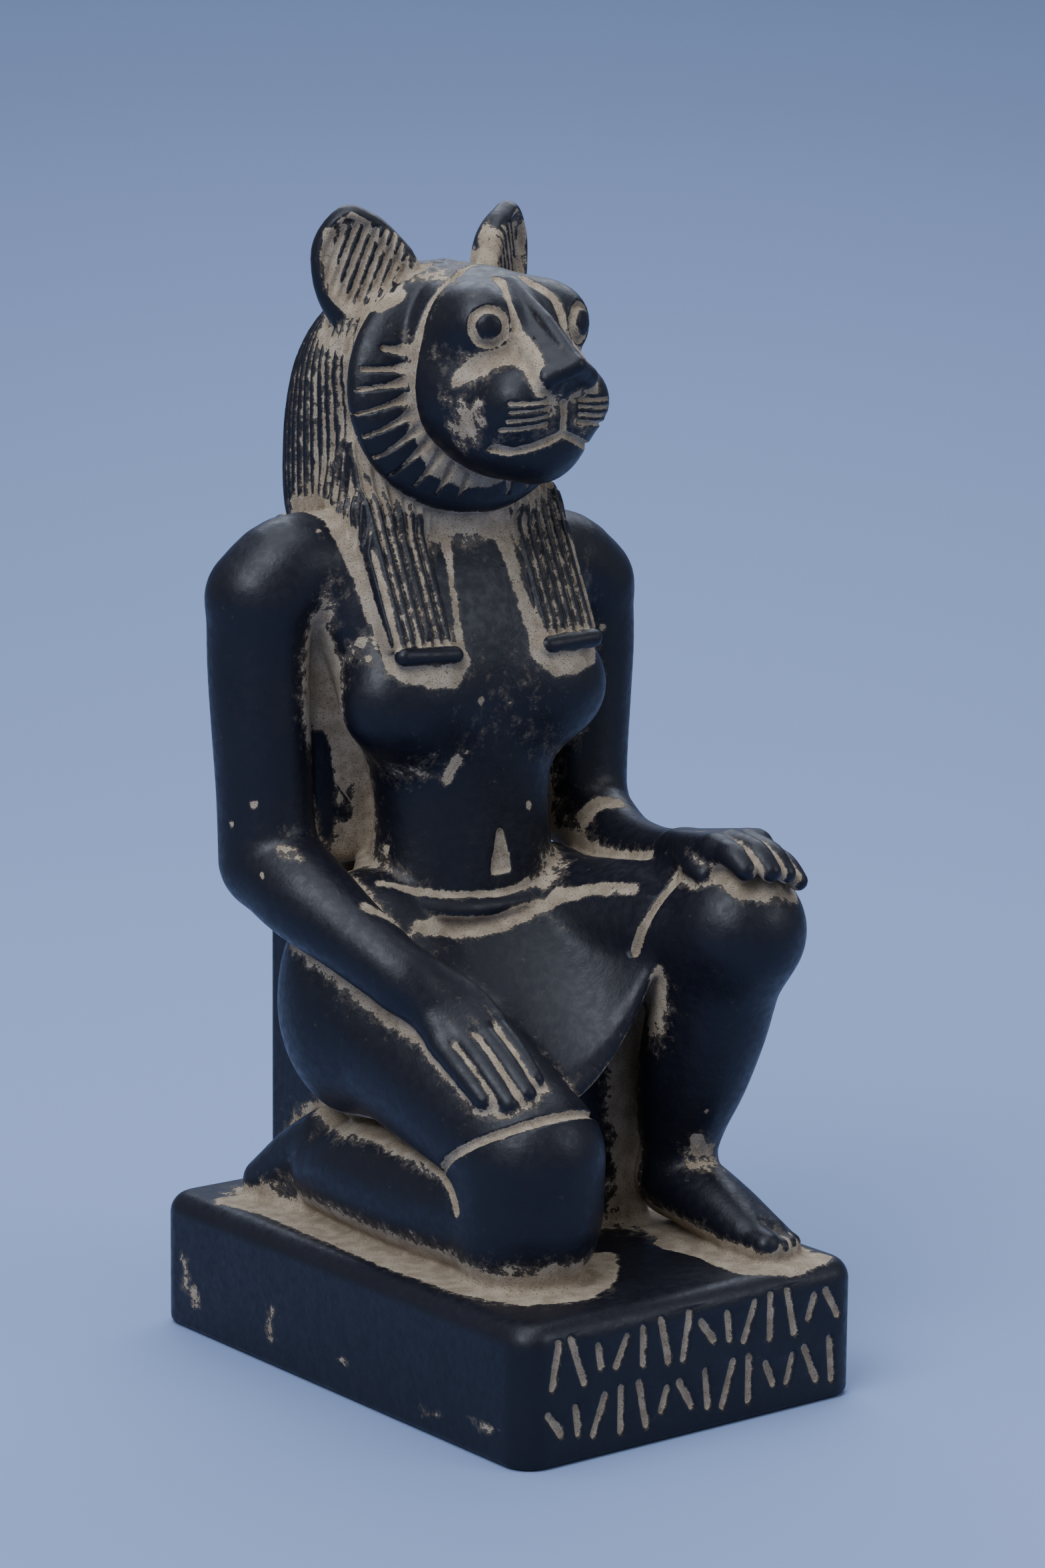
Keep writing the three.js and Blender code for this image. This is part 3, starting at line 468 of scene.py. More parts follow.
left_limb = near(
    (18, -70, 104),
    (60, 46, 190),
    join(1.2, join(2, left_arm, left_palm, left_thumb), left_fingers),
)


# The lioness's head. Round brows and cheeks, a heavy muzzle of two whisker pads over the jaw, and a broad
# nose whose end is cut flat.

head_z = 226.2
skull = egg((0, 12, 225.6), (21, 22, 21.8))
brows = mirrored(egg((8.7, 0.6, 235), (9.6, 11.8, 9.8), (0, 0, 20)))
cheeks = mirrored(egg((10.6, 4, 219.6), (10, 13, 12)))
pads = join(2, mirrored(egg((8.2, -11, 218.8), (8, 10, 8.6))), egg((0, -11.4, 217.4), (6, 8.2, 7)))
jaw = join(3, egg((0, -2.6, 210.4), (15.6, 15.6, 9.6)), egg((0, -10.2, 210), (9.6, 8.2, 9.2)))
nose = mirrored(
    join(
        1.6,
        plate(
            1.8,
            (0, 0, 243.6), (0, -13, 236.2), (0, -23.6, 227.6),
            (5.6, -20.6, 224.6), (4, -9, 234.6), (2.8, 1, 243),
        ),
        plate(1.8, (4, -9, 234.6), (5.6, -20.6, 224.6), (5.4, -14, 221.5), (6.4, -6, 227)),
        plate(1.6, (0, -23.8, 227.6), (5.8, -20.6, 224.6), (0, -17.4, 220.8)),
        plate(3, (0, -13, 224), (4, -11, 222), (0, -12.4, 213)),
        plate(4, (0, -8, 233), (0, -17, 226.2), (3, -10, 222)),
    )
)
face = join(4.5, join(4, skull, brows, cheeks, jaw), pads)
head = join(2.2, face, nose)


# The ruff: a shallow disc of mane round the face, and behind it the long wig with a lappet to each breast.

ruff = overlap(
    1.6,
    egg((0, 16, 219.4), (31.6, 9.4, 28), (-7, 0, 0)),
    lambda p: np.abs(p.y - 17) - 14,
)
wig = stack(
    [
        (182, 25.6, 24, 38.4),
        (192, 28.4, 25.6, 38.4),
        (204, 29, 26.2, 38),
        (216, 29, 26.6, 36.2),
        (227, 28.2, 26.2, 32.6),
        (236, 24.2, 23.2, 29.4),
        (242.6, 16.6, 17, 27),
        (246.6, 8.6, 10, 24.6),
        (247.8, 2, 3, 23),
    ]
)
lappets = mirrored(
    join(
        3,
        block((20.2, 14.2, 178.6), (9, 5.4, 19), 3.4, (-25, 0, 0)),
        plate(3.4, (23, 24, 206), (25.4, 29, 196), (25.4, 20, 188), (15.4, 16.4, 192), (19, 20, 202)),
    )
)
lappet_end = sweep((13.2, 2, 162.2, 2.2), (26.6, 2.4, 162.8, 2.2))
lappet_ends = mirrored(near((8, -4, 156), (32, 8, 168), lappet_end))


# The ears stand up and turn outwards, each a thick shell with a sunken cup.

ear_x, ear_y, ear_top = 23.1, 30.8, high_corner.z + plinth_bottom + 0.1
across_x, across_y = 0.8, 0.52
out_x, out_y = 0.543, -0.84


def ear_point(across, up, out):
    """A point of the left ear: outward across it, up from its tip, and out of its cup."""
    return (ear_x + across_x * across + out_x * out, ear_y + across_y * across + out_y * out, ear_top + up)


def leaf(out, outline):
    """A closed outline drawn smoothly through its points, which lie across and up the ear."""
    n = len(outline)
    points = np.array(outline, float)
    smooth = [spot for i in range(n) for spot in curve(*(points[(i + j) % n] for j in (-1, 0, 1, 2)), 3)]
    return [ear_point(across, up, out) for across, up in smooth]


ear_rim = [(-1, -3), (-4.6, -3.9), (-8.6, -6.4), (-15, -13.8), (-12, -20), (-2, -25.6)]
ear_rim += [(2.8, -20), (4.4, -12), (3, -7)]
ear_hollow = [(-2, -4.8), (-7.4, -9.2), (-13, -15.6), (-9.4, -20.2), (-2, -21), (1.8, -16), (2.4, -10)]
ear_shell = join(
    2,
    plate(2.9, *leaf(0.5, ear_rim)),
    placed(egg((0, 0, 0), (9.6, 5, 12)), ear_point(-4, -15, -1.6), (0, 0, 33)),
)
ear_cup = plate(2.4, *leaf(4, ear_hollow))
ear_ridges = 2.3
ear_ridge_height = 0.8


def ear_floor(p):
    """Where the floor of the cup is, and how deep a spot lies between its slanting ridges, both 0 to 1."""
    x, y, z = p.x - ear_x, p.y - ear_y, p.z - ear_top
    across = (out_x * y - out_y * x) / (out_x * across_y - out_y * across_x)
    out = (x - across_x * across) / out_x
    floor = ease(11, 8.5, np.hypot(across + 5.5, 1.05 * (z + 13.5))) * ease(0.3, 1, out)
    return floor, (1 + np.cos(2 * np.pi * (0.93 * across + 0.36 * z) / ear_ridges)) / 2


def ear_form(p):
    d = without(1.2, ear_shell, ear_cup)(p)
    if d is None:
        return None
    floor, valley = ear_floor(p)
    return d + ear_ridge_height * floor * valley


ears = mirrored(near((0, 8, 226), (38, 46, 262), ear_form))


# Carving in the head: the eyes, the brow lines, the whiskers and the mouth, the groove round the face, and
# the rays of the ruff. Each is a line seen from the front, pressed to a shallow rounded channel.

def strokes(view, *paths):
    """The distance to a set of lines, seen along one axis: view is the pair of axes that remain."""
    pieces = [(*a, *b) for path in paths for a, b in zip(path, path[1:])]

    def distance(p):
        u, v = getattr(p, view[0]), getattr(p, view[1])
        best = np.full(u.shape, REACH)
        for u0, v0, u1, v1 in pieces:
            du, dv = u1 - u0, v1 - v0
            t = np.clip(((u - u0) * du + (v - v0) * dv) / (du * du + dv * dv), 0, 1)
            best = np.minimum(best, np.hypot(u - u0 - t * du, v - v0 - t * dv))
        return best
    return distance


def groove(distance, half, depth):
    return np.where(distance < half, depth * (1 - (distance / half) ** 2), 0)


whiskers = mirrored(strokes("xz", *[[(4.4, 219.7 - 1.65 * i), (13.4, 219.4 - 1.9 * i)] for i in range(4)]))
mouth = mirrored(
    strokes(
        "xz",
        [(0, 212.4), (3.6, 211), (7.4, 209.6), (10.4, 208.6), (12.6, 209.3)],
        [(0, 219), (0, 212.4)],
    )
)
brow_lines = mirrored(strokes("xz", [(3.4, 244.8), (6.2, 241.4), (6.7, 238), (6.5, 234.6)]))
eye_radius = 3.8


def eye_ring(p):
    across = (np.abs(p.x) - 11.7) * np.cos(0.5) + (p.y + 7.2) * np.sin(0.5)
    return np.abs(np.hypot(across, p.z - 235.3) - eye_radius)


def rim_line(p):
    """The rim of the face lies level with the cheeks, and further back over the crown."""
    turn = np.degrees(np.arctan2(p.z - head_z, np.abs(p.x)))
    return 7.3 + 4.2 * ease(55, 90, turn)


def face_relief(p):
    lines = (
        groove(eye_ring(p), 1.05, 0.95)
        + groove(whiskers(p), 0.6, 0.6)
        + groove(mouth(p), 1, 1)
        + groove(brow_lines(p), 1.1, 0.7)
    )
    rim = np.where(p.z > 201, groove(np.abs(p.y - rim_line(p)), 1.1, 1.1), 0)
    return np.where(p.y < 1, lines, 0) + rim


ray_ends = {8: 25, -2: 29.4, -10: 31, -19: 32.4, -28: 33.2, -37: 33.6, -46: 33.6}
ray_ends |= {-56: 32.4, -66: 31.4, -77: 30.6}
ray_start = 19


def ray(angle, end):
    a = np.radians(angle)
    return [(r * np.cos(a), head_z + r * np.sin(a)) for r in (ray_start, end)]


rays = mirrored(strokes("xz", *[ray(angle, end) for angle, end in ray_ends.items()]))


def ruff_relief(p):
    """Each ray is wide at the rim of the face and pointed at its outer end."""
    half = np.clip(1.5 - 0.1 * (np.hypot(p.x, p.z - head_z) - ray_start - 2), 0.4, 1.5)
    return np.where((p.y > rim_line(p)) & (p.y < 20), groove(rays(p), half, 1), 0)


# Carving in the hair: strands round the wig by angle, over the crown and along the lappets by width.

strands_round = 72
strand_pitch = 2.5
strand_depth = 0.95


def ridge(phase):
    return (1 - np.cos(2 * np.pi * phase)) / 2


def round_wig(p):
    return ridge(np.arctan2(p.x, p.y - 31) / (2 * np.pi) * strands_round + 0.5)


def wig_relief(p):
    crown = ease(239, 243, p.z)
    over = ridge(p.x / strand_pitch) * ease(28, 24, p.y)
    throat = np.where(np.abs(p.x) < 16, ease(14, 18, p.y), 1)
    return strand_depth * (round_wig(p) * (1 - crown) + over * crown) * throat


def lappet_relief(p):
    side = ease(26.5, 28, np.abs(p.x)) * ease(184, 188, p.z)
    strand = ridge((np.abs(p.x) - 11.2) / strand_pitch) * (1 - side) + round_wig(p) * side
    return strand_depth * strand * ease(162, 164, p.z) * np.maximum(ease(214, 208, p.z), side)


# Carving in the body: the crease where the calf meets the thigh, the hem over the kneeling knee, the kilt's
# edge on the raised thigh, and two rows of plain slanting strokes on the plinth's front.

crease = strokes("yz", [(26, 59.5), (16, 57), (0, 56.4), (-16, 56), (-26, 54), (-31, 51), (-33.5, 47.5)])
knee_hem = strokes("yz", [(-27, 54.5), (-33, 59.5), (-40, 63.8), (-46, 67), (-51, 70)])


stroke_columns = 14


def stroke_line(i):
    column, row = i % stroke_columns, i // stroke_columns
    x = -39 + 6 * column
    z = (21.8, 8.8)[row]
    tall = (4.8, 3, 5, 4, 2.4)[(i * 7 + row) % 5]
    lean = (0.8, -1.1, 0, 1.5, -0.4, -1.8)[(i * 5 + row) % 6]
    return [(x - lean, z - tall), (x + lean, z + tall)]


inscription = strokes("xz", *[stroke_line(i) for i in range(2 * stroke_columns)])


def body_relief(p):
    depth = np.zeros_like(p.x)
    if p.high[0] > 14 and p.high[2] > 96 and p.low[2] < 117:
        thigh = (p.x > 14) & (p.z > 96) & (p.z < 117)
        depth += np.where(thigh, groove(np.abs(p.y + 34 - 0.33 * (112 - p.z)), 1.3, 1.1), 0)
    if p.low[0] < -22 and p.low[2] < 62:
        depth += np.where((p.x < -22) & (p.z < 62), groove(crease(p), 1.5, 1.5), 0)
    if p.low[0] < -6 and p.low[1] < -28 and p.high[2] > 54:
        depth += np.where((p.x < -6) & (p.y < -28) & (p.z > 54), groove(knee_hem(p), 1.2, 1), 0)
    if p.low[1] < -66:
        depth += np.where(p.y < -66, groove(inscription(p), 1.1, 0.8), 0)
    return depth


# The whole figure. The parts flow into each other as they were modelled in clay before the mould was made.

def carved(form, relief):
    """The surface sinks by the depth that the relief gives there."""
    def sunk(p):
        d = form(p)
        if d is None:
            return None
        close = np.abs(d) < 2.5
        if close.any():
            d[close] += relief(Spots(p.x[close], p.y[close], p.z[close]))
        return d
    return sunk


legs = join(
    2.2,
    join(3, join(5, right_hip, right_thigh), right_knee),
    right_calf,
    right_foot,
    join(4, left_hip, left_thigh, left_shin),
    join(2, left_shin, left_foot),
    toes,
)
seated = join(2.5, plinth, legs, leg_web, kilt)
trunk = join(3, join(4, join(7, torso, breasts), shoulders), arm_web)
body = join(2.5, seated, trunk, pillar)
armed = join(1.4, join(0.9, without(0.5, body, navel), belt), right_limb, left_limb)
hair = join(4, carved(wig, wig_relief), carved(lappets, lappet_relief))
ruffed_head = join(1, carved(ruff, ruff_relief), join(2, carved(head, face_relief), ears))
crowned = near((-34, -28, 156), (34, 70, 262), join(0.8, hair, lappet_ends, ruffed_head))
statue_form = join(0.9, carved(armed, body_relief), crowned)


# The casting. The form is measured on a fine grid near its surface, the cells that the surface crosses are
# strung into a closed skin, and the skin is thinned where it is plain.

cell = 0.52
group = 8
span = group * cell
margin = 6.2
grid_low = np.array([low_corner.x, low_corner.y, low_corner.z]) - margin
grid_high = np.array([high_corner.x, high_corner.y, high_corner.z]) + margin
groups = np.ceil((grid_high - grid_low) / span).astype(int)


def measure(points):
    """The distance from the figure's surface, at rows of x, y, z in the part's frame."""
    p = Spots(*(np.ascontiguousarray(points[:, i]) for i in range(3)))
    p.z = p.z + plinth_bottom
    p.low[2] += plinth_bottom
    p.high[2] += plinth_bottom
    return statue_form(p)


def measure_all(points, size=24000):
    """Measures many points with all the processors, in runs that lie close together."""
    runs = [points[i:i + size] for i in range(0, len(points), size)]
    with ThreadPoolExecutor(4) as pool:
        return np.concatenate(list(pool.map(measure, runs)))


def block_order(index, step):
    """Sorts cells so that those of one neighbourhood come together."""
    coarse = index // step
    return np.lexsort((coarse[:, 0], coarse[:, 1], coarse[:, 2]))


index = np.stack(np.meshgrid(*(np.arange(n) for n in groups), indexing="ij"), -1).reshape(-1, 3)
index = index[block_order(index, 4)]
middle = measure_all(grid_low + (index + 0.5) * span, 64)
coarse = np.zeros(groups, np.float32)
coarse[tuple(index.T)] = middle
values = coarse.repeat(group, 0).repeat(group, 1).repeat(group, 2)
live = index[np.abs(middle) < 1.5 * span]
inner = np.stack(np.meshgrid(*[np.arange(group)] * 3, indexing="ij"), -1).reshape(-1, 3)
fine = (live[:, None, :] * group + inner[None]).reshape(-1, 3)
values[tuple(fine.T)] = measure_all(grid_low + fine * cell, group**3 * 16)

cuts = (slice(None, -1), slice(1, None))
for _ in range(12):  # where cells meet only across a diagonal, the weakest corner gives way
    solid = values < 0
    flips = 0
    for b, c in ((0, 1), (0, 2), (1, 2)):
        pick = [[slice(None)] * 3 for _ in range(4)]
        for i in range(4):
            pick[i][b] = cuts[i & 1]
            pick[i][c] = cuts[i >> 1]
        pick = [tuple(corner) for corner in pick]
        cross = (solid[pick[0]] == solid[pick[3]]) & (solid[pick[1]] == solid[pick[2]])
        cross &= solid[pick[0]] != solid[pick[1]]
        where = np.argwhere(cross)
        flips += len(where)
        around = []
        for i in range(4):
            around.append(where + [(i & 1) * (axis == b) + (i >> 1) * (axis == c) for axis in range(3)])
        strength = np.stack([np.abs(values[tuple(corner.T)]) for corner in around])
        weakest = strength.argmin(0)
        for i in range(4):
            chosen = tuple(around[i][weakest == i].T)
            values[chosen] = np.where(values[chosen] < 0, 0.01, -0.01)
    if not flips:
        break
solid = values < 0
count = np.zeros(tuple(n - 1 for n in solid.shape), np.uint8)
for i in range(8):
    count += solid[cuts[i & 1], cuts[(i >> 1) & 1], cuts[i >> 2]]
crossed = np.argwhere((count > 0) & (count < 8))
crossed = crossed[block_order(crossed, 32)]
number = np.full(count.shape, -1, np.int32)
number[tuple(crossed.T)] = np.arange(len(crossed))
total = np.zeros((len(crossed), 3))
hits = np.zeros(len(crossed))
for axis in range(3):
    others = [i for i in range(3) if i != axis]
    for i in range(4):
        start = crossed.copy()
        start[:, others[0]] += i & 1
        start[:, others[1]] += i >> 1
        end = start.copy()
        end[:, axis] += 1
        a = values[tuple(start.T)]
        b = values[tuple(end.T)]
        cut = (a < 0) != (b < 0)
        t = a[cut] / (a[cut] - b[cut])
        place = start[cut].astype(float)
        place[:, axis] += t
        total[cut] += place
        hits[cut] += 1
points = grid_low + total / hits[:, None] * cell

quads = []
for axis in range(3):
    step = [slice(None)] * 3
    ahead = [slice(None)] * 3
    step[axis] = slice(None, -1)
    ahead[axis] = slice(1, None)
    edges = np.argwhere(solid[tuple(step)] != solid[tuple(ahead)])
    outward = solid[tuple(edges.T)]
    b, c = (axis + 1) % 3, (axis + 2) % 3
    corners = []
    for db, dc in ((0, 0), (1, 0), (1, 1), (0, 1)):
        here = edges.copy()
        here[:, b] -= db
        here[:, c] -= dc
        corners.append(number[tuple(here.T)])
    ring = np.stack(corners, 1)
    ring[~outward] = ring[~outward, ::-1]
    quads.append(ring)
quads = np.concatenate(quads)


def quick_distance(points):
    """The distance read back from the grid, good to a few millimetres from the surface."""
    at = (points - grid_low) / cell
    base = np.clip(np.floor(at).astype(int), 0, np.array(values.shape) - 2)
    t = np.clip(at - base, 0, 1)
    total = np.zeros(len(points))
    for i in range(8):
        corner = (i & 1, (i >> 1) & 1, i >> 2)
        weight = np.prod([t[:, axis] if corner[axis] else 1 - t[:, axis] for axis in range(3)], axis=0)
        total += weight * values[tuple((base + corner).T)]
    return total


def outward_at(points, reach):
    """The direction straight out of the surface."""
    direction = np.stack(
        [quick_distance(points + step) - quick_distance(points - step) for step in np.eye(3) * reach],
        axis=1,
    )
    return direction / np.maximum(np.linalg.norm(direction, axis=1, keepdims=True), 1e-9)


def hollowness(points, outward, reach, distance=quick_distance):
    """0 on open ground, towards 1 and over in a recess of about that size."""
    return np.clip(1 - distance(points + outward * reach) / reach, 0, 2)


def mesh_of(name, points, faces):
    mesh = bpy.data.meshes.new(name)
    mesh.vertices.add(len(points))
    mesh.vertices.foreach_set("co", np.ascontiguousarray(points * MM, dtype=np.float32).ravel())
    mesh.loops.add(faces.size)
    mesh.loops.foreach_set("vertex_index", np.ascontiguousarray(faces, dtype=np.int32).ravel())
    mesh.polygons.add(len(faces))
    mesh.polygons.foreach_set("loop_start", np.arange(len(faces), dtype=np.int32) * faces.shape[1])
    mesh.update(calc_edges=True)
    return mesh


statue = bpy.data.objects.new("statue_casting", mesh_of("statue_casting", points, quads))
bpy.context.scene.collection.objects.link(statue)

triangles_wanted = 138000
long_side = 8 * MM
short_side = 1.2 * MM
clay_bend = 0.06
underside = 1  # up to this height the casting is plain


thinner = statue.modifiers.new("thinner", "DECIMATE")
thinner.ratio = min(1, triangles_wanted / (2 * len(quads)))
thinner.use_collapse_triangulate = True
thinned = bpy.data.meshes.new_from_object(statue.evaluated_get(bpy.context.evaluated_depsgraph_get()))
statue.modifiers.remove(thinner)
statue.data = thinned
thinned.name = "statue_casting"


def corners_of(mesh):
    places = np.zeros(len(mesh.vertices) * 3, np.float32)
    mesh.vertices.foreach_get("co", places)
    return places.reshape(-1, 3).astype(float) / MM


def settle(mesh):
    """Each corner moves on to the surface of the form."""
    places = corners_of(mesh)
    for _ in range(2):
        places -= outward_at(places, 0.4) * np.clip(measure_all(places), -0.3, 0.3)[:, None]
    mesh.vertices.foreach_set("co", (places * MM).astype(np.float32).ravel())
    return places


settle(statue.data)
statue.data.shade_smooth()


# The finish. Satin blue-black paint over the casting, and sandy clay brushed on and wiped off again, which
# stays in the hollows with ragged edges, thin smears and a few chips and specks.

rubbed = [  # strength, radius, and the path of the rub; these are the same on both sides
    (-0.6, 1.8, (2, -5, 242.5), (3.5, -10, 238.5), (4, -14, 235)),
    (0.5, 2.1, (6, -12, 232.5), (6.5, -17, 230), (7, -19, 227.5)),
    (0.6, 1.2, (7, -19, 227.5), (8, -20, 224.5), (7.5, -20.5, 222)),
    (0.5, 2, (7, -11.5, 229.5), (12.5, -9, 228), (15.5, -6.5, 226), (17.5, -4.5, 224)),
    (-0.4, 4.6, (25, 11, 228), (26.5, 12, 220), (25, 12, 211), (20, 11, 203.5)),
    (-0.5, 4, (21, 4.5, 223), (20, 3, 214), (17, 2.5, 209), (14, 1.5, 206.5)),
    (0.5, 2.4, (10.5, 2.3, 161), (14.5, 0.5, 157), (20, 0.5, 157.5), (25.5, 2.5, 158.5)),
    (0.5, 2, (32, 20, 188.5), (30, 16, 182), (29, 12, 174), (29, 6.5, 166), (27.5, 4.5, 160.5)),
    (0.5, 2.6, (28, 42, 192.5), (32, 27, 192.5), (31, 22, 190.5), (30, 19, 187.5)),
    (0.7, 2, (25.5, 29.5, 240.5), (23, 26, 237.5), (22.5, 17.5, 238.5), (18, 15.5, 241)),
    (-0.5, 4, (15, 13, 243), (20, 11, 238)),
    (0.6, 1.5, (25.5, 29.5, 240.5), (26, 31, 247), (27.5, 30, 254)),
    (0.4, 1, (23, 27, 258), (20.5, 25.5, 256), (17.5, 24.5, 252), (14.5, 22.5, 248), (12.5, 20, 245)),
    (0.35, 2.4, (26, 34.5, 231.5), (26, 29, 229.5), (26.5, 25, 229.5)),
]
rubbed_once = [
    (0.7, 1.3, (-3.5, -1.5, 244), (-6.5, -7.5, 241), (-6.5, -10.5, 235.5)),
    (0.5, 1, (3.5, -1.5, 244), (6, -6.5, 241.5)),
    (0.2, 5.5, (-20.5, 1, 220), (-18, -3.5, 216), (-16, -5, 211.5)),
    (0.24, 2.2, (-16.5, -10.5, 218.5), (-16, -11, 215.5)),
    (0.3, 5, (-12.5, 7, 205), (-9, 7.5, 202), (-2.5, 7, 200.5), (4.5, 7.5, 199)),
    (-0.6, 2.8, (-22, 10.5, 202.5), (-16, 9.5, 199), (-7.5, 9, 196), (-1, 8.5, 195.5), (7, 8.5, 197.5)),
    (0.6, 3, (-9.5, 14, 192), (-6.5, 13, 190.5), (0.5, 13, 190.5), (8.5, 13.5, 188.5)),
    (0.5, 2.4, (8.5, 13.5, 188.5), (9, 11, 182), (9, 8, 175.5), (10, 5.5, 169), (11, 3.5, 164.5)),
    (0.5, 1.2, (-7, 13.5, 186), (-9, 8.5, 176.5), (-10, 4.5, 166.5), (-10.5, 2, 161)),
    (0.3, 5, (-33, 26.5, 163), (-30, 26.5, 150), (-25.5, 27, 138), (-22, 27, 126), (-25, 24, 114)),
    (-0.5, 3, (-31.5, 27, 141), (-31, 27, 131)),
    (-0.45, 2.4, (-21.5, 27, 131), (-24.5, 27, 124)),
    (0.42, 1.2, (-27.5, 10.5, 111), (-22, 6.5, 109.5), (-16, 3.5, 108), (-1.5, 0.5, 107), (7.5, 1.5, 108.5)),
    (0.5, 2.4, (-39.5, -2, 109), (-34, -5, 105.5), (-21.5, 0.5, 102), (-3, -1.5, 100.5), (11.5, -4.5, 106)),
    (0.5, 2.4, (11.5, -4.5, 106), (16, -15, 109), (18, -23.5, 110)),
    (0.45, 3.2, (34.5, 13.5, 119.5), (37.5, 13, 122), (41, 10.5, 122)),
    (0.4, 3.4, (13, 25, 253), (12, 22, 250), (9.5, 22.5, 248.5)),
    (0.4, 1.6, (-11.5, 3, 138.5), (-13, 4, 134)),
    (0.35, 2.2, (-48.5, 17.5, 119.5), (-46.5, 14, 118.5)),
    (0.6, 4, (-40.5, 51, 30.7), (-37, 38.5, 30.7), (-37.5, 7, 30.7), (-39, -13, 30.7), (-37.5, -38, 30.7)),
    (0.6, 3.6, (-37.5, -38, 30.7), (-33, -51, 30.7), (-22.5, -55, 30.7), (-9.5, -48, 30.7), (2, -35, 30.7)),
    (0.6, 3.2, (19.5, -36, 30.7), (19.5, -52, 30.7), (19.5, -63, 30.7), (29.5, -66, 30.7), (40, -64, 30.7)),
    (-1.4, 8, (-3, -59, 30.7), (4, -52, 30.7), (10, -48, 30.7)),
    (0.6, 1.7, (30, -34, 50.5), (28, -35, 53.5)),
    (0.34, 2.6, (-26, -51.5, 35.5), (-19.5, -51, 34.5)),
    (0.8, 1.1, (28.5, -60, 36), (29.5, -64, 33)),
    (0.8, 1, (33, -60, 35.5), (33, -63.5, 33)),
    (0.8, 1, (36, -58.5, 35), (36, -62, 33)),
    (0.4, 3, (-47.6, 58.5, 15.5), (-47.6, 57, 10), (-47.6, 53.5, 7.5)),
    (0.36, 2.6, (-47.6, 23, 12.5), (-47.6, 24.5, 6.5)),
    (0.36, 1.6, (-47.6, -34, 5), (-47.6, -40, 4.5)),
    (0.36, 1.6, (-47.6, -52, 7), (-47.6, -60, 6.5)),
]
chips = [
    (-36.5, 21, 189.5), (-35.5, 18.5, 171), (-31.5, 12, 165.5), (-31, 9.5, 162), (-6, 1, 151.5),
    (-8.5, 2.5, 140), (-54.5, 28.5, 124.5), (-52, 23.5, 129.5), (-53, 19, 114.5), (43, 19, 162),
    (31.5, 2.5, 115.5), (-22, 15, 117.5), (9, 3, 126), (27.5, -39, 61), (-47.6, -4.5, 8),
    (-47.6, 45.5, 15.5), (-47.6, 52, 5),
]


def path_gap(places, path):
    """The distance from each place to a path of points."""
    path = np.array(path, float)
    if len(path) == 1:
        return np.linalg.norm(places - path[0], axis=1)
    best = np.full(len(places), 99.0)
    for start, end in zip(path, path[1:]):
        along = end - start
        t = np.clip((places - start) @ along / (along @ along), 0, 1)
        best = np.minimum(best, np.linalg.norm(places - start - t[:, None] * along, axis=1))
    return best


def rubbed_level(places):
    """What the rubs and chips add at each place; less than nothing where the clay was wiped away."""
    here = places + (0, 0, plinth_bottom)
    there = np.abs(here * (1, 0, 0)) + here * (0, 1, 1)
    level = np.zeros(len(places))
    chip_rubs = [(0.6, 0.7 + 0.5 * ((7 * i) % 5) / 4, chip) for i, chip in enumerate(chips)]
    for spots, rubs in ((there, rubbed), (here, rubbed_once), (here, chip_rubs)):
        for strength, radius, *path in rubs:
            low = np.min(path, axis=0) - 1.25 * radius
            high = np.max(path, axis=0) + 1.25 * radius
            close = np.nonzero(((spots > low) & (spots < high)).all(axis=1))[0]
            fade = np.clip(1 - path_gap(spots[close], path) / (1.25 * radius), 0, 1)
            level[close] += strength * ease(0, 0.65, fade)
    return level


def clay_level(places, outward):
    """How readily clay stays: over about a third of the way to 1 the paint is covered."""
    level = np.zeros(len(places))
    for reach, strength in ((1.2, 1.5), (2.5, 1.1), (5, 0.75)):
        level = np.maximum(level, strength * hollowness(places, outward, reach))
    level = np.maximum(level, 0.42 * hollowness(places, outward, 9, measure_all))
    level += rubbed_level(places)
    spots = Spots(*(places + (0, 0, plinth_bottom)).T)
    cup, valley = ear_floor(Spots(np.abs(spots.x), spots.y, spots.z))
    level += cup * (0.6 * valley - 0.25)
    carving = np.where(spots.z > 190, face_relief(spots) + ruff_relief(spots), 0.9 * body_relief(spots))
    return level + 0.6 * carving


def mend(casting):
    """Each edge ends with two faces, as in a closed casting."""
    torn = {face for edge in casting.edges if len(edge.link_faces) > 2 for face in edge.link_faces}
    bmesh.ops.delete(casting, geom=list(torn), context="FACES")
    bmesh.ops.holes_fill(casting, edges=[edge for edge in casting.edges if edge.is_boundary])
    bmesh.ops.triangulate(casting, faces=[face for face in casting.faces if len(face.verts) > 3])


def divide_sides(mesh):
    """Long sides, and those where the clay ends, get a corner in their middle."""
    casting = bmesh.new()
    casting.from_mesh(mesh)
    mend(casting)
    for _ in range(5):
        sides = [edge for edge in casting.edges if edge.calc_length() > short_side]
        ends = np.array([(*edge.verts[0].co, *edge.verts[1].co) for edge in sides]).reshape(-1, 2, 3) / MM
        middles = ends.mean(axis=1)
        at_ends = rubbed_level(ends[:, 0]) + rubbed_level(ends[:, 1])
        bend = np.abs(rubbed_level(middles) - at_ends / 2)
        long = np.linalg.norm(ends[:, 0] - ends[:, 1], axis=1) > long_side / MM
        chosen = np.nonzero(((bend > clay_bend) | long) & (middles[:, 2] > underside))[0]
        bmesh.ops.subdivide_edges(casting, edges=[sides[i] for i in chosen], cuts=1)
        bmesh.ops.triangulate(casting, faces=[face for face in casting.faces if len(face.verts) > 3])
    mend(casting)
    casting.to_mesh(mesh)
    casting.free()


divide_sides(statue.data)
settle(statue.data)
places = corners_of(statue.data)
outward = outward_at(places, 0.5)
level = clay_level(places, outward)
clay = statue.data.attributes.new("clay", "FLOAT", "POINT")
clay.data.foreach_set("value", level.astype(np.float32))

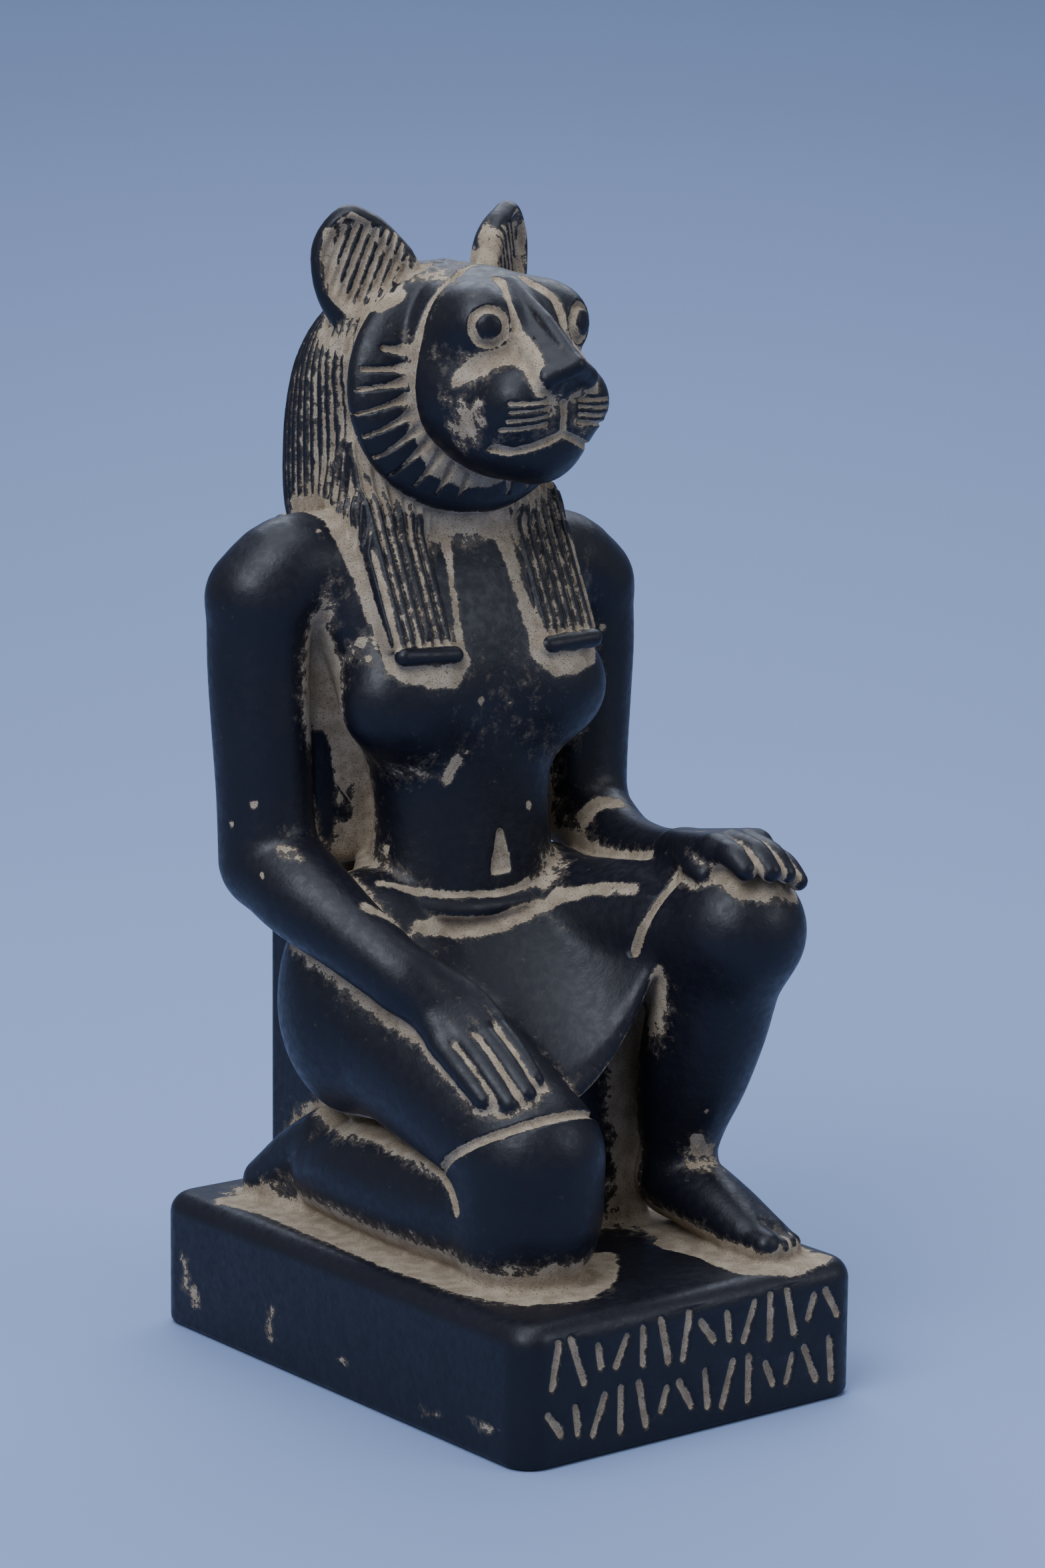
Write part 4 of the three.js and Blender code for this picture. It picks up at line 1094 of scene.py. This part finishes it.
material = bpy.data.materials.new("blue_black_paint_and_clay")
material.use_nodes = True
tree = material.node_tree
shader = tree.nodes["Principled BSDF"]


def put(kind, inputs=(), **settings):
    """Adds a node, sets its options, and fills or links its inputs by number or name."""
    node = tree.nodes.new(kind)
    for name, value in settings.items():
        setattr(node, name, value)
    for key, value in dict(inputs).items():
        if isinstance(value, bpy.types.NodeSocket):
            tree.links.new(value, node.inputs[key])
        else:
            node.inputs[key].default_value = value
    return node


def calculate(operation, a, b=0.0):
    return put("ShaderNodeMath", {0: a, 1: b}, operation=operation).outputs[0]


def between(value, start, end, low=0.0, high=1.0):
    settings = {"Value": value, "From Min": start, "From Max": end, "To Min": low, "To Max": high}
    return put("ShaderNodeMapRange", settings, interpolation_type="SMOOTHSTEP").outputs["Result"]


def blended(amount, a, b):
    node = put("ShaderNodeMix", {0: amount, 6: a, 7: b}, data_type="RGBA")
    return node.outputs[2]


spot = put("ShaderNodeTexCoord").outputs["Object"]


def noise(per_metre, detail=2.0, roughness=0.5):
    settings = {"Vector": spot, "Scale": per_metre, "Detail": detail, "Roughness": roughness}
    return put("ShaderNodeTexNoise", settings).outputs["Fac"]


worn = put("ShaderNodeAttribute", attribute_name="clay").outputs["Fac"]
tear = calculate("SUBTRACT", noise(380, 3, 0.6), 0.5)
crumb = calculate("SUBTRACT", noise(1400, 2, 0.6), 0.5)
ragged = calculate("ADD", worn, calculate("MULTIPLY", tear, 0.75))
ragged = calculate("ADD", ragged, calculate("MULTIPLY", crumb, 0.35))
cover = between(ragged, 0.3, 0.38)
film = between(ragged, 0.14, 0.36, 0, 0.22)
covered = calculate("MAXIMUM", cover, film)

paint_colour = blended(noise(90, 3), (0.0045, 0.0046, 0.0085, 1), (0.008, 0.0083, 0.014, 1))
clay_light = blended(between(noise(260, 3), 0.35, 0.65), (0.27, 0.212, 0.148, 1), (0.38, 0.31, 0.225, 1))
clay_colour = blended(between(noise(3200, 2), 0.3, 0.45), (0.12, 0.085, 0.05, 1), clay_light)
tree.links.new(blended(covered, paint_colour, clay_colour), shader.inputs["Base Color"])
paint_gloss = between(noise(500, 3), 0.3, 0.7, 0.36, 0.5)
gloss = put("ShaderNodeMix", {0: covered, 2: paint_gloss, 3: 0.92}, data_type="FLOAT").outputs[0]
tree.links.new(gloss, shader.inputs["Roughness"])

height = calculate("MULTIPLY", cover, 0.12)
height = calculate("ADD", height, calculate("MULTIPLY", noise(1500, 2), 0.05))
grain = calculate("MULTIPLY", cover, calculate("MULTIPLY", noise(3000, 3, 0.7), 0.16))
height = calculate("ADD", height, grain)
height = calculate("ADD", height, calculate("MULTIPLY", noise(240, 2), 0.16))
bump = put("ShaderNodeBump", {"Strength": 1.0, "Distance": 0.001, "Height": height})
tree.links.new(bump.outputs["Normal"], shader.inputs["Normal"])
shader.inputs["Specular IOR Level"].default_value = 0.32
statue.data.materials.append(material)

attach(statue, "root")
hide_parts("statue")


# The studio: a pale floor that curves up behind, soft lamps, and the camera where the photograph was taken.

floor_mesh = bpy.data.meshes.new("studio_floor")
curve_starts = 0.62
curve_radius = 1.22
profile = [(-1.6, 0)]
for i in range(13):
    turn = np.radians(7.5 * i)
    profile.append((curve_starts + curve_radius * np.sin(turn), curve_radius * (1 - np.cos(turn))))
profile.append((curve_starts + curve_radius, 2.4))
across = np.array((0.7885, -0.6151))
back = np.array((0.6151, 0.7885))
rows = [[(*(across * side + back * depth), height) for depth, height in profile] for side in (-2.4, 2.4)]
strip = len(profile)
floor_mesh.from_pydata(
    rows[0] + rows[1],
    [],
    [(i, i + strip, i + strip + 1, i + 1) for i in range(strip - 1)],
)
floor_mesh.shade_smooth()
floor = bpy.data.objects.new("studio_floor", floor_mesh)
bpy.context.scene.collection.objects.link(floor)
paper = bpy.data.materials.new("pale_blue_grey_paper")
paper.use_nodes = True
paper.node_tree.nodes["Principled BSDF"].inputs["Base Color"].default_value = (0.225, 0.302, 0.512, 1)
paper.node_tree.nodes["Principled BSDF"].inputs["Roughness"].default_value = 0.9
floor_mesh.materials.append(paper)


def softbox(name, place, target, size, power):
    lamp = bpy.data.lights.new(name, "AREA")
    lamp.shape = "RECTANGLE"
    lamp.size, lamp.size_y = size
    lamp.energy = power
    lamp.color = (0.8, 0.87, 1)
    holder = bpy.data.objects.new(name, lamp)
    holder.location = place
    holder.rotation_euler = (Vector(target) - Vector(place)).to_track_quat("-Z", "Y").to_euler()
    bpy.context.scene.collection.objects.link(holder)
    return holder


softbox("key_softbox", (-0.9, -0.35, 1.05), (0, 0, 0.14), (0.8, 0.8), 15.5)
softbox("right_softbox", (0.75, -1.1, 0.8), (0, 0, 0.14), (0.7, 0.7), 5)
softbox("top_softbox", (-0.15, 0, 1.3), (0, 0, 0.14), (1, 1), 9.5)
softbox("back_softbox", (0.55, 0.6, 1), (0, 0, 0.14), (1.1, 0.8), 10)
world = bpy.data.worlds.new("studio_air")
world.use_nodes = True
world.node_tree.nodes["Background"].inputs["Color"].default_value = (0.9, 0.94, 1, 1)
world.node_tree.nodes["Background"].inputs["Strength"].default_value = 0.3
bpy.context.scene.world = world

lens = bpy.data.cameras.new("studio_camera")
lens.sensor_fit = "VERTICAL"
lens.sensor_height = 24
lens.lens = 24 * 6500 / 2352
camera = bpy.data.objects.new("studio_camera", lens)
camera_right = Vector((0.7885, -0.6151, 0.0094)).normalized()
camera_up = Vector((0.1021, 0.146, 0.984))
camera_back = camera_right.cross(camera_up).normalized()
camera_up = camera_back.cross(camera_right)
turn = Matrix((camera_right, camera_up, camera_back)).transposed().to_4x4()
camera.matrix_world = Matrix.Translation((-0.5856, -0.7543, 0.3057)) @ turn
bpy.context.scene.collection.objects.link(camera)
bpy.context.scene.camera = camera
